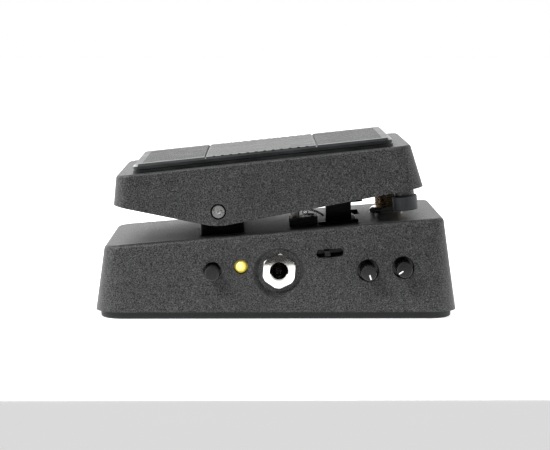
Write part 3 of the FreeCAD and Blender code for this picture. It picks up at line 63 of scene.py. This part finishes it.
# an empty material with object coordinates in metres, so a pattern's scale is 1 / its size
def startMaterial(name):
    material = bpy.data.materials.new(name)
    material.use_nodes = True
    tree = material.node_tree
    tree.nodes.clear()
    place = addNode(tree, "ShaderNodeTexCoord").outputs["Object"]
    return material, tree, place


def finishMaterial(tree, settings, links):
    shader = addNode(tree, "ShaderNodeBsdfPrincipled", settings, links)
    addNode(tree, "ShaderNodeOutputMaterial", None, {"Surface": shader.outputs["BSDF"]})
    return shader


# a colour that runs from one paint to another with a pattern
def blendColours(tree, pattern, first, second, low=0.35, high=0.65):
    share = addNode(tree, "ShaderNodeMapRange", {"From Min": low, "From Max": high},
                    {"Value": pattern})
    return addNode(tree, "ShaderNodeMix", {"data_type": "RGBA", 6: linear(first), 7: linear(second)},
                   {0: share.outputs["Result"]}).outputs[2]


# a noise hardly leaves this range, so it is what gets spread over the wanted one
noiseLow, noiseHigh = 0.3, 0.7


def spread(tree, pattern, low, high):
    ends = {"From Min": noiseLow, "From Max": noiseHigh, "To Min": low, "To Max": high}
    return addNode(tree, "ShaderNodeMapRange", ends, {"Value": pattern}).outputs["Result"]


# Powder coat on a die casting: wrinkled while it cured; the colour paints a highlight on each wrinkle's top
# and shade in its hollow.
coatHabit = {
    "tangle": 0.6,
    "gritStrength": 0.35,
    "gritShare": 0.4,  # of the wrinkles' height
    "ior": 1.52,
}


def powderCoat(name, look):
    material, tree, place = startMaterial(name)
    wrinkle = addNode(tree, "ShaderNodeTexNoise", {
        "Scale": 1 / look["wrinkleSize"], "Detail": 2,
        "Roughness": coatHabit["tangle"], "Distortion": coatHabit["tangle"]}, {"Vector": place})
    grit = addNode(tree, "ShaderNodeTexNoise", {"Scale": 1 / look["gritSize"], "Detail": 1},
                   {"Vector": place})
    flow = addNode(tree, "ShaderNodeTexNoise", {"Scale": 1 / look["flowSize"], "Detail": 3},
                   {"Vector": place})
    # painted light: the wrinkles' high points get a pale colour as a painted highlight and their low points
    # a dark one as painted shade, from the same noise as the bump
    crestPaintedHighlight = blendColours(tree, wrinkle.outputs["Fac"], look["valleyPaintedShade"], look["crestPaintedHighlight"],
                         *look["paintedHighlightShare"])
    shade = spread(tree, flow.outputs["Fac"], 1 - look["flowShade"], 1 + look["flowShade"])
    worn = addNode(tree, "ShaderNodeMix", {"data_type": "RGBA", "blend_type": "MULTIPLY", 0: 1.0},
                   {6: crestPaintedHighlight, 7: shade})
    low = addNode(tree, "ShaderNodeBump", {
        "Strength": coatHabit["gritStrength"],
        "Distance": look["wrinkleHeight"] * coatHabit["gritShare"]}, {"Height": grit.outputs["Fac"]})
    bump = addNode(tree, "ShaderNodeBump", {
        "Strength": look["bumpStrength"], "Distance": look["wrinkleHeight"]},
        {"Height": wrinkle.outputs["Fac"], "Normal": low.outputs["Normal"]})
    finishMaterial(tree, {"IOR": coatHabit["ior"]}, {
        "Base Color": worn.outputs[2], "Normal": bump.outputs["Normal"],
        "Roughness": spread(tree, wrinkle.outputs["Fac"], *look["roughness"])})
    return material


# Moulded rubber: a fine matt grain from the mould, with paler dust caught where it is handled.
rubberHabit = {
    "grainStrength": 0.5,
    "dustRoughness": 0.65,
    "sheenRoughness": 0.5,
    "bevelHighlightFrom": (0.2, 0.26),  # of the product of a face's lengthwise and upward lean
    "ior": 1.5,
}


def mouldedRubber(name, look):
    material, tree, place = startMaterial(name)
    grain = addNode(tree, "ShaderNodeTexNoise", {"Scale": 1 / look["grainSize"], "Detail": 3},
                    {"Vector": place})
    streaks = addNode(tree, "ShaderNodeMapping", {"Scale": look["streak"]}, {"Vector": place})
    dust = addNode(tree, "ShaderNodeTexNoise", {
        "Scale": 1 / look["dustSize"], "Detail": 4, "Roughness": rubberHabit["dustRoughness"]},
        {"Vector": streaks.outputs["Vector"]})
    colour = blendColours(tree, dust.outputs["Fac"], look["rubber"], look["dust"], *look["dustShare"])
    bump = addNode(tree, "ShaderNodeBump", {
        "Strength": rubberHabit["grainStrength"], "Distance": look["grainHeight"]},
        {"Height": grain.outputs["Fac"]})
    gloss = spread(tree, dust.outputs["Fac"], *look["roughness"])
    if "bevelPaintedHighlight" in look:  # bevels that face heel or toe get a painted highlight: a pale colour chosen by their facing, and a smoother finish
        facing = addNode(tree, "ShaderNodeTexCoord").outputs["Normal"]
        parts = addNode(tree, "ShaderNodeSeparateXYZ", None, {"Vector": facing})
        alongX = addNode(tree, "ShaderNodeMath", {"operation": "ABSOLUTE"}, {0: parts.outputs["X"]})
        lean = addNode(tree, "ShaderNodeMath", {"operation": "MULTIPLY"},
                       {0: alongX.outputs[0], 1: parts.outputs["Z"]})
        bevelHighlightLow, bevelHighlightHigh = rubberHabit["bevelHighlightFrom"]
        bevelPaintedHighlight = addNode(tree, "ShaderNodeMapRange", {"From Min": bevelHighlightLow, "From Max": bevelHighlightHigh},
                         {"Value": lean.outputs[0]})
        # the painted highlight: a pale colour mixed in by the face's facing
        colour = addNode(tree, "ShaderNodeMix", {"data_type": "RGBA", 7: linear(look["bevelPaintedHighlight"])},
                         {0: bevelPaintedHighlight.outputs["Result"], 6: colour}).outputs[2]
        gloss = addNode(tree, "ShaderNodeMix", {"data_type": "FLOAT", 3: look["bevelGloss"]},
                        {0: bevelPaintedHighlight.outputs["Result"], 2: gloss}).outputs[0]
    finishMaterial(tree, {
        "IOR": rubberHabit["ior"], "Sheen Weight": look["sheen"],
        "Sheen Roughness": rubberHabit["sheenRoughness"]}, {
        "Base Color": colour, "Normal": bump.outputs["Normal"], "Roughness": gloss})
    return material


# Turned, drawn or plated metal: fine lines along the way it was worked, and a faint stain that dulls it.
metalHabit = {
    "stainShare": (0.45, 0.75),
    "stainRoughness": 0.6,
}


def workedMetal(name, look):
    material, tree, place = startMaterial(name)
    stretched = addNode(tree, "ShaderNodeMapping", {"Scale": look["lines"]}, {"Vector": place})
    lines = addNode(tree, "ShaderNodeTexNoise", {"Scale": 1 / look["lineSize"], "Detail": 3},
                    {"Vector": stretched.outputs["Vector"]})
    stain = addNode(tree, "ShaderNodeTexNoise", {
        "Scale": 1 / look["stainSize"], "Detail": 4, "Roughness": metalHabit["stainRoughness"]},
        {"Vector": place})
    colour = blendColours(tree, stain.outputs["Fac"], look["metal"], look["stain"],
                          *metalHabit["stainShare"])
    bump = addNode(tree, "ShaderNodeBump", {
        "Strength": look["bumpStrength"], "Distance": look["lineHeight"]},
        {"Height": lines.outputs["Fac"]})
    finishMaterial(tree, {"Metallic": 1.0}, {
        "Base Color": colour, "Normal": bump.outputs["Normal"],
        "Roughness": spread(tree, stain.outputs["Fac"], *look["roughness"])})
    return material


# Moulded or painted plastic: the mould's spark-eroded grain, and handling that polishes patches of it.
plasticHabit = {
    "gleam": 0.5,  # the shader's own level, for a look that names none
    "coatRoughness": 0.08,
}


def mouldedPlastic(name, look):
    material, tree, place = startMaterial(name)
    grain = addNode(tree, "ShaderNodeTexNoise", {"Scale": 1 / look["grainSize"], "Detail": 2},
                    {"Vector": place})
    polish = addNode(tree, "ShaderNodeTexNoise", {"Scale": 1 / look["polishSize"], "Detail": 3},
                     {"Vector": place})
    colour = blendColours(tree, polish.outputs["Fac"], look["plastic"], look["shade"])
    bump = addNode(tree, "ShaderNodeBump", {
        "Strength": look["bumpStrength"], "Distance": look["grainHeight"]},
        {"Height": grain.outputs["Fac"]})
    finishMaterial(tree, {
        "IOR": look["ior"], "Specular IOR Level": look.get("gleam", plasticHabit["gleam"]),
        "Coat Weight": look["coat"], "Coat Roughness": plasticHabit["coatRoughness"]}, {
        "Base Color": colour, "Normal": bump.outputs["Normal"],
        "Roughness": spread(tree, polish.outputs["Fac"], *look["roughness"])})
    return material


finishes = {}

# Fine crinkle powder coat on the zinc casting. Real wrinkles are 0.4 to 0.8 mm: the eye reads a dry, dark
# charcoal with pale flecks, painted here as highlights on the wrinkles' high points over painted shade in
# their low points; it turns light grey where the surface is seen at a low angle.
castPaint = {
    # the two colours below are painted shade in the wrinkles' low points and a painted highlight on their
    # high points
    "valleyPaintedShade": "#080808",
    "crestPaintedHighlight": "#737474",
    "paintedHighlightShare": (0.4, 0.86),
    "wrinkleSize": 0.00042,  # the finer of the real wrinkles
    "gritSize": 0.0004,
    "flowSize": 0.02,
    "flowShade": 0.1,
    "wrinkleHeight": 0.00014,
    "bumpStrength": 0.8,
    "roughness": (0.3, 0.6),
}
finishes["cast_body"] = powderCoat("crinklePowderCoat", castPaint)

# Matt moulded rubber of the sole: slightly greyer than the paint, with no flecks.
soleLook = {
    "rubber": "#171a1b",
    "dust": "#292d2e",
    "dustShare": (0.35, 0.75),
    "dustSize": 0.006,
    "streak": (0.4, 0.4, 1.5),
    "grainSize": 0.0005,
    "grainHeight": 0.00004,
    "roughness": (0.55, 0.75),
    "sheen": 0.1,
}
finishes["sole_rubber"] = mouldedRubber("soleRubber", soleLook)

# Satin moulded rubber of the tread: dust and shoe scuffs lie in streaks along the ribs.
treadLook = {
    "rubber": "#17191a",
    "dust": "#333637",
    "dustShare": (0.4, 0.72),
    "dustSize": 0.0035,
    "streak": (0.22, 1.0, 1.0),  # scuffs run heel to toe
    "grainSize": 0.0005,
    "grainHeight": 0.00003,
    "roughness": (0.34, 0.5),
    "sheen": 0.1,
    # pale colour painted on the heel and toe bevels by their facing: a painted highlight
    "bevelPaintedHighlight": "#9c9c9a",
    "bevelGloss": 0.25,
}
finishes["tread_rubber"] = mouldedRubber("treadRubber", treadLook)

# Firm grey-black bumper rubber, parted from its mould with a dull bloom on the skin.
bumperLook = {
    "rubber": "#2a2c2e",
    "dust": "#424447",
    "dustShare": (0.3, 0.7),
    "dustSize": 0.003,
    "streak": (1.0, 1.0, 0.3),
    "grainSize": 0.0004,
    "grainHeight": 0.00003,
    "roughness": (0.45, 0.6),
    "sheen": 0.1,
}
finishes["bumper_rubber"] = mouldedRubber("bumperRubber", bumperLook)

# Painted steel sheet of the bottom plate: smoother than the casting, with rolled-sheet waviness.
plateLook = {
    # the two colours below are painted shade and a painted highlight on the sheet's waviness, following its
    # bump
    "valleyPaintedShade": "#232425",
    "crestPaintedHighlight": "#38393a",
    "paintedHighlightShare": (0.36, 0.68),
    "wrinkleSize": 0.0016,
    "gritSize": 0.0005,
    "flowSize": 0.03,
    "flowShade": 0.06,
    "wrinkleHeight": 0.00006,
    "bumpStrength": 0.3,
    "roughness": (0.35, 0.5),
}
finishes["plate_steel"] = powderCoat("paintedSheet", plateLook)

# Gloss black paint on the pivot posts: near black, so only clean reflections show along the rounded corners.
postLook = {
    "plastic": "#020202",
    "shade": "#040404",
    "polishSize": 0.006,
    "grainSize": 0.0012,
    "grainHeight": 0.00002,
    "bumpStrength": 0.2,
    "roughness": (0.1, 0.18),
    "ior": 1.45,
    "gleam": 0.2,
    "coat": 0.0,
}
finishes["post_paint"] = mouldedPlastic("glossBlackPaint", postLook)

# Turned steel of the axle: bright, with rings from the lathe on its end face.
steelLook = {
    "metal": "#c9c9c8",
    "stain": "#a7a7a6",
    "lines": (1.0, 0.2, 1.0),
    "lineSize": 0.0006,
    "lineHeight": 0.00002,
    "stainSize": 0.0016,
    "bumpStrength": 0.3,
    "roughness": (0.22, 0.38),
}
finishes["steel"] = workedMetal("turnedSteel", steelLook)

# Zinc-plated screws: greyer and duller than the axle.
screwLook = {
    "metal": "#8f8d89",
    "stain": "#6d6a65",
    "lines": (1.0, 1.0, 1.0),
    "lineSize": 0.0008,
    "lineHeight": 0.00002,
    "stainSize": 0.002,
    "bumpStrength": 0.25,
    "roughness": (0.3, 0.45),
}
finishes["zinc_screw"] = workedMetal("zincPlatedScrew", screwLook)

# Bright nickel on the jack's nut and sleeve: a near mirror that splits the studio into white and black.
nickelLook = {
    "metal": "#e4e3df",
    "stain": "#c3c1bb",
    "lines": (1.0, 1.0, 1.0),
    "lineSize": 0.0012,
    "lineHeight": 0.000004,
    "stainSize": 0.003,
    "bumpStrength": 0.1,
    "roughness": (0.03, 0.07),
}
finishes["nickel"] = workedMetal("brightNickel", nickelLook)

# Dull plated brass of the footswitch thread: bronze where the plating is thin.
threadLook = {
    "metal": "#b8a68f",
    "stain": "#80705e",
    "lines": (1.0, 1.0, 2.0),
    "lineSize": 0.0012,
    "lineHeight": 0.00002,
    "stainSize": 0.0018,
    "bumpStrength": 0.2,
    "roughness": (0.22, 0.38),
}
finishes["thread_brass"] = workedMetal("platedBrassThread", threadLook)

# Drawn spring wire: bright along the wire.
springLook = {
    "metal": "#dddddb",
    "stain": "#b9b9b6",
    "lines": (0.3, 1.0, 1.0),
    "lineSize": 0.0005,
    "lineHeight": 0.00001,
    "stainSize": 0.002,
    "bumpStrength": 0.15,
    "roughness": (0.14, 0.26),
}
finishes["spring_steel"] = workedMetal("drawnSpringWire", springLook)

# Tinned copper alloy of the contacts and solder pins: pale, with a warm cast.
contactLook = {
    "metal": "#d8cfb4",
    "stain": "#a3926a",
    "lines": (0.4, 1.0, 1.0),
    "lineSize": 0.0006,
    "lineHeight": 0.00001,
    "stainSize": 0.0015,
    "bumpStrength": 0.15,
    "roughness": (0.16, 0.3),
}
finishes["contact_metal"] = workedMetal("tinnedContact", contactLook)

# Machined black acetal of the rack: waxy black with faint cutter marks.
acetalLook = {
    "plastic": "#030303",
    "shade": "#070707",
    "polishSize": 0.003,
    "grainSize": 0.0007,
    "grainHeight": 0.00002,
    "bumpStrength": 0.3,
    "roughness": (0.3, 0.45),
    "ior": 1.48,
    "gleam": 0.15,
    "coat": 0.0,
}
finishes["black_acetal"] = mouldedPlastic("blackAcetal", acetalLook)

# Moulded natural nylon: milky white and slightly greasy to the eye.
nylonLook = {
    "plastic": "#e9e8e2",
    "shade": "#d3d1c8",
    "polishSize": 0.003,
    "grainSize": 0.0007,
    "grainHeight": 0.00002,
    "bumpStrength": 0.25,
    "roughness": (0.32, 0.48),
    "ior": 1.53,
    "coat": 0.0,
}
finishes["white_nylon"] = mouldedPlastic("naturalNylon", nylonLook)

# Moulded black plastic of housings, cap and slider: satin, with a grey face where it is handled.
plasticLook = {
    "plastic": "#080808",
    "shade": "#111111",
    "polishSize": 0.004,
    "grainSize": 0.0006,
    "grainHeight": 0.00002,
    "bumpStrength": 0.2,
    "roughness": (0.16, 0.28),
    "ior": 1.5,
    "coat": 0.0,
}
finishes["black_plastic"] = mouldedPlastic("mouldedBlackPlastic", plasticLook)

# Knob plastic: glossier than the housings, so the knurled rim catches a thin white line.
knobLook = {
    "plastic": "#070707",
    "shade": "#0f0f0f",
    "polishSize": 0.003,
    "grainSize": 0.0006,
    "grainHeight": 0.00002,
    "bumpStrength": 0.2,
    "roughness": (0.13, 0.22),
    "ior": 1.5,
    "coat": 0.0,
}
finishes["knob_plastic"] = mouldedPlastic("knobPlastic", knobLook)

# White paint wiped into the pointer groove: chalky, thinner toward its ends.
pointerLook = {
    "plastic": "#f3f3f1",
    "shade": "#d9d9d6",
    "polishSize": 0.0008,
    "grainSize": 0.0004,
    "grainHeight": 0.00002,
    "bumpStrength": 0.3,
    "roughness": (0.5, 0.65),
    "ior": 1.5,
    "coat": 0.0,
}
finishes["pointer_paint"] = mouldedPlastic("pointerPaint", pointerLook)

# Cast tinted epoxy of the lamp: light spreads in it, so it glows pale around the die and deeper at the rim.
lampLook = {
    "middle": "#fff9c8",
    "rim": "#d9c243",
    "glow": "#ead75a",
    "glowStrength": 0.22,
    "hotSpotSize": 0.0026,
    "grainSize": 0.0009,
    "grainHeight": 0.00001,
    "scatter": (0.0015, 0.0011, 0.0003),
    "scatterShare": 0.6,
    "hazeStrength": 0.15,
    "roughness": (0.12, 0.25),
    "ior": 1.54,
    "hotSpot": (-0.0004, 0.0006, 0.0005),  # from the middle of the lens's front
}


def castEpoxy(name, look, centre):
    material, tree, place = startMaterial(name)
    distance = addNode(tree, "ShaderNodeVectorMath", {"operation": "DISTANCE", 1: centre}, {0: place})
    ball = addNode(tree, "ShaderNodeMapRange", {"From Min": 0.0, "From Max": look["hotSpotSize"]},
                   {"Value": distance.outputs["Value"]})
    colour = blendColours(tree, ball.outputs["Result"], look["middle"], look["rim"], 0.0, 1.0)
    haze = addNode(tree, "ShaderNodeTexNoise", {"Scale": 1 / look["grainSize"], "Detail": 2},
                   {"Vector": place})
    bump = addNode(tree, "ShaderNodeBump", {
        "Strength": look["hazeStrength"], "Distance": look["grainHeight"]},
        {"Height": haze.outputs["Fac"]})
    finishMaterial(tree, {
        "IOR": look["ior"], "Subsurface Weight": look["scatterShare"],
        "Subsurface Radius": look["scatter"], "Subsurface Scale": 1.0,
        "Emission Color": linear(look["glow"]), "Emission Strength": look["glowStrength"]}, {
        "Base Color": colour, "Normal": bump.outputs["Normal"],
        "Roughness": spread(tree, haze.outputs["Fac"], *look["roughness"])})
    return material


lampLow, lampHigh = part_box("lamp_lens")
lampCentre = (lampLow + lampHigh) / 2
lampFace = Vector((lampCentre.x, lampLow.y, lampCentre.z)) + Vector(lampLook["hotSpot"])
finishes["lamp_yellow"] = castEpoxy("tintedEpoxy", lampLook, tuple(lampFace))

# Solder-masked glass laminate: green lacquer over a fine weave, with paler tracks under it.
boardLook = {
    "mask": "#0d3a20",
    "track": "#1c5c34",
    "trackPitch": 0.0025,
    "weaveSize": 0.0008,
    "weaveHeight": 0.00002,
    "weaveStrength": 0.3,
    "trackLength": 4,  # in pitches
    "trackGap": 0.1,
    "roughness": (0.25, 0.4),
    "ior": 1.55,
}


def maskedLaminate(name, look):
    material, tree, place = startMaterial(name)
    pitch = look["trackPitch"]
    tracks = addNode(tree, "ShaderNodeTexBrick", {
        "Color1": linear(look["mask"]), "Color2": linear(look["track"]), "Mortar": linear(look["track"]),
        "Scale": 1.0, "Brick Width": pitch * look["trackLength"], "Row Height": pitch,
        "Mortar Size": pitch * look["trackGap"]}, {"Vector": place})
    weave = addNode(tree, "ShaderNodeTexNoise", {"Scale": 1 / look["weaveSize"], "Detail": 1},
                    {"Vector": place})
    bump = addNode(tree, "ShaderNodeBump", {
        "Strength": look["weaveStrength"], "Distance": look["weaveHeight"]},
        {"Height": weave.outputs["Fac"]})
    finishMaterial(tree, {"IOR": look["ior"]}, {
        "Base Color": tracks.outputs["Color"], "Normal": bump.outputs["Normal"],
        "Roughness": spread(tree, weave.outputs["Fac"], *look["roughness"])})
    return material


finishes["board_laminate"] = maskedLaminate("maskedLaminate", boardLook)

# Moulded component cases: brick-red dipped film capacitors, glossy and a little uneven.
caseLook = {
    "plastic": "#7c241c",
    "shade": "#5d1a15",
    "polishSize": 0.004,
    "grainSize": 0.0012,
    "grainHeight": 0.00004,
    "bumpStrength": 0.3,
    "roughness": (0.18, 0.3),
    "ior": 1.52,
    "coat": 0.3,
}
finishes["component_case"] = mouldedPlastic("dippedCase", caseLook)

for node in nodes.values():
    slotName = node.data.materials[0].name.split(".")[0]
    node.data.materials[0] = finishes[slotName]
print("finishes given:", len(finishes))


# Edges between a flat and a round face are shaded sharp, and curves smooth.
edgeLook = {"smoothAngle": 32}
for node in nodes.values():
    node.data.set_sharp_from_angle(angle=math.radians(edgeLook["smoothAngle"]))
print("edges shaded")


# Studio: a white floor that runs out of sight, white air behind, and one large soft light high on the left.
studio = {
    "floorSize": 8.0,
    "floorDrop": 0.00005,
    "floorGlow": 0.7,
    "paper": "#f4f4f4",
    "paperPale": "#fafafa",
    "paperGrain": 40.0,
    "paperRoughness": 0.9,
    "skyTop": 0.8,
    "skyBack": 1.9,
    "skyFront": 0.03,
    "skyLeft": 1.25,
    "skyRight": 0.7,
    "skyDepth": (-0.7, 0.2),  # from the front's air to the back's
    "skyHeight": (0.35, 0.9),  # from the level air to the top's
    "skyWidth": 0.8,
    "cardDark": "#0a0a0a",
    "cardPale": "#141414",
    "cardGrain": 60.0,
    "cardRoughness": 0.8,
    "cardLift": 0.0005,
    "cardNear": -0.188,
    "cardLength": 1.6,
    "cardWidth": 3.0,
    "keyPlace": (-0.62, -0.62, 0.85),
    "keySize": 0.35,
    "keyPower": 12.0,
    "stripPlace": (0.9, -0.35, 0.35),
    "stripSize": (0.12, 0.6),
    "stripPower": 1.0,
    "aim": (0, 0, 0.03),
}


def buildFloor():
    bpy.ops.mesh.primitive_plane_add(size=studio["floorSize"], location=(0, 0, -studio["floorDrop"]))
    floor = bpy.context.object
    floor.name = "studioFloor"
    material, tree, place = startMaterial("whiteSweep")
    paper = addNode(tree, "ShaderNodeTexNoise", {"Scale": studio["paperGrain"], "Detail": 2},
                    {"Vector": place})
    colour = blendColours(tree, paper.outputs["Fac"], studio["paper"], studio["paperPale"])
    finishMaterial(tree, {"Roughness": studio["paperRoughness"], "Emission Color": (1, 1, 1, 1),
                          "Emission Strength": studio["floorGlow"]}, {"Base Color": colour})
    floor.data.materials.append(material)
    floor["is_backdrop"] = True


# a dark table beyond the paper's front edge: only reflections and bounced light know about it
def buildCard():
    card = studio["cardLength"]
    middle = (0, studio["cardNear"] - card / 2, studio["cardLift"])
    bpy.ops.mesh.primitive_plane_add(size=1, location=middle)
    table = bpy.context.object
    table.name = "darkTable"
    table.scale = (studio["cardWidth"], card, 1)
    material, tree, place = startMaterial("darkTable")
    weave = addNode(tree, "ShaderNodeTexNoise", {"Scale": studio["cardGrain"]}, {"Vector": place})
    colour = blendColours(tree, weave.outputs["Fac"], studio["cardDark"], studio["cardPale"])
    finishMaterial(tree, {"Roughness": studio["cardRoughness"]}, {"Base Color": colour})
    table.data.materials.append(material)
    table.visible_camera = False
    table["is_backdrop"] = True


def buildSky():
    world = bpy.data.worlds.new("studioAir")
    bpy.context.scene.world = world
    world.use_nodes = True
    tree = world.node_tree
    tree.nodes.clear()
    way = addNode(tree, "ShaderNodeTexCoord").outputs["Generated"]
    parts = addNode(tree, "ShaderNodeSeparateXYZ", None, {"Vector": way})
    depthFrom, depthTo = studio["skyDepth"]
    depth = addNode(tree, "ShaderNodeMapRange", {
        "From Min": depthFrom, "From Max": depthTo, "To Min": studio["skyFront"],
        "To Max": studio["skyBack"]}, {"Value": parts.outputs["Y"]})
    heightFrom, heightTo = studio["skyHeight"]
    height = addNode(tree, "ShaderNodeMapRange", {"From Min": heightFrom, "From Max": heightTo},
                     {"Value": parts.outputs["Z"]})
    light = addNode(tree, "ShaderNodeMix", {"data_type": "FLOAT", 3: studio["skyTop"]},
                    {0: height.outputs["Result"], 2: depth.outputs["Result"]})
    across = addNode(tree, "ShaderNodeMapRange", {
        "From Min": -studio["skyWidth"], "From Max": studio["skyWidth"],
        "To Min": studio["skyLeft"], "To Max": studio["skyRight"]}, {"Value": parts.outputs["X"]})
    sided = addNode(tree, "ShaderNodeMath", {"operation": "MULTIPLY"},
                    {0: light.outputs[0], 1: across.outputs["Result"]})
    lit = addNode(tree, "ShaderNodeBackground", {"Color": (1, 1, 1, 1)}, {"Strength": sided.outputs[0]})
    seen = addNode(tree, "ShaderNodeBackground", {"Color": (1, 1, 1, 1), "Strength": 1.0})
    path = addNode(tree, "ShaderNodeLightPath")
    both = addNode(tree, "ShaderNodeMixShader", None, {
        0: path.outputs["Is Camera Ray"], 1: lit.outputs["Background"], 2: seen.outputs["Background"]})
    addNode(tree, "ShaderNodeOutputWorld", None, {"Surface": both.outputs["Shader"]})


def addSoftbox(name, place, size, power):
    lamp = bpy.data.lights.new(name, "AREA")
    lamp.shape = "RECTANGLE"
    lamp.size, lamp.size_y = size
    lamp.energy = power
    holder = bpy.data.objects.new(name, lamp)
    bpy.context.scene.collection.objects.link(holder)
    holder.location = place
    holder.rotation_euler = (Vector(studio["aim"]) - Vector(place)).to_track_quat("-Z", "Y").to_euler()


buildFloor()
buildCard()
buildSky()
keySides = (studio["keySize"], studio["keySize"])
addSoftbox("keySoftbox", studio["keyPlace"], keySides, studio["keyPower"])
addSoftbox("rightStrip", studio["stripPlace"], studio["stripSize"], studio["stripPower"])
print("studio built")


# Camera: a long lens just above the pedal, square to its side.
viewpoint = {
    "place": (-0.0057, -0.729, 0.1208),
    "tilt": 83.13,
    "turn": -0.438,
    "lens": 114.4,
    "sensor": 36.0,
    "clip": (0.01, 50),
    "gamma": 0.9,  # deepens the mid greys a little, and leaves black and white
}
eye = bpy.data.cameras.new("sideView")
eye.lens = viewpoint["lens"]
eye.sensor_width = viewpoint["sensor"]
eye.clip_start, eye.clip_end = viewpoint["clip"]
camera = bpy.data.objects.new("sideView", eye)
bpy.context.scene.collection.objects.link(camera)
camera.location = viewpoint["place"]
camera.rotation_euler = (math.radians(viewpoint["tilt"]), 0, math.radians(viewpoint["turn"]))
bpy.context.scene.camera = camera
bpy.context.scene.view_settings.view_transform = "Standard"
bpy.context.scene.view_settings.look = "None"
bpy.context.scene.view_settings.gamma = viewpoint["gamma"]
print("camera placed")


def plain(sizes):
    if isinstance(sizes, dict):
        return {key: plain(value) for key, value in sizes.items()}
    if isinstance(sizes, (list, tuple, Vector)):
        return [plain(value) for value in sizes]
    return sizes


{"start": plain(startSizes), "end": plain(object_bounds())}
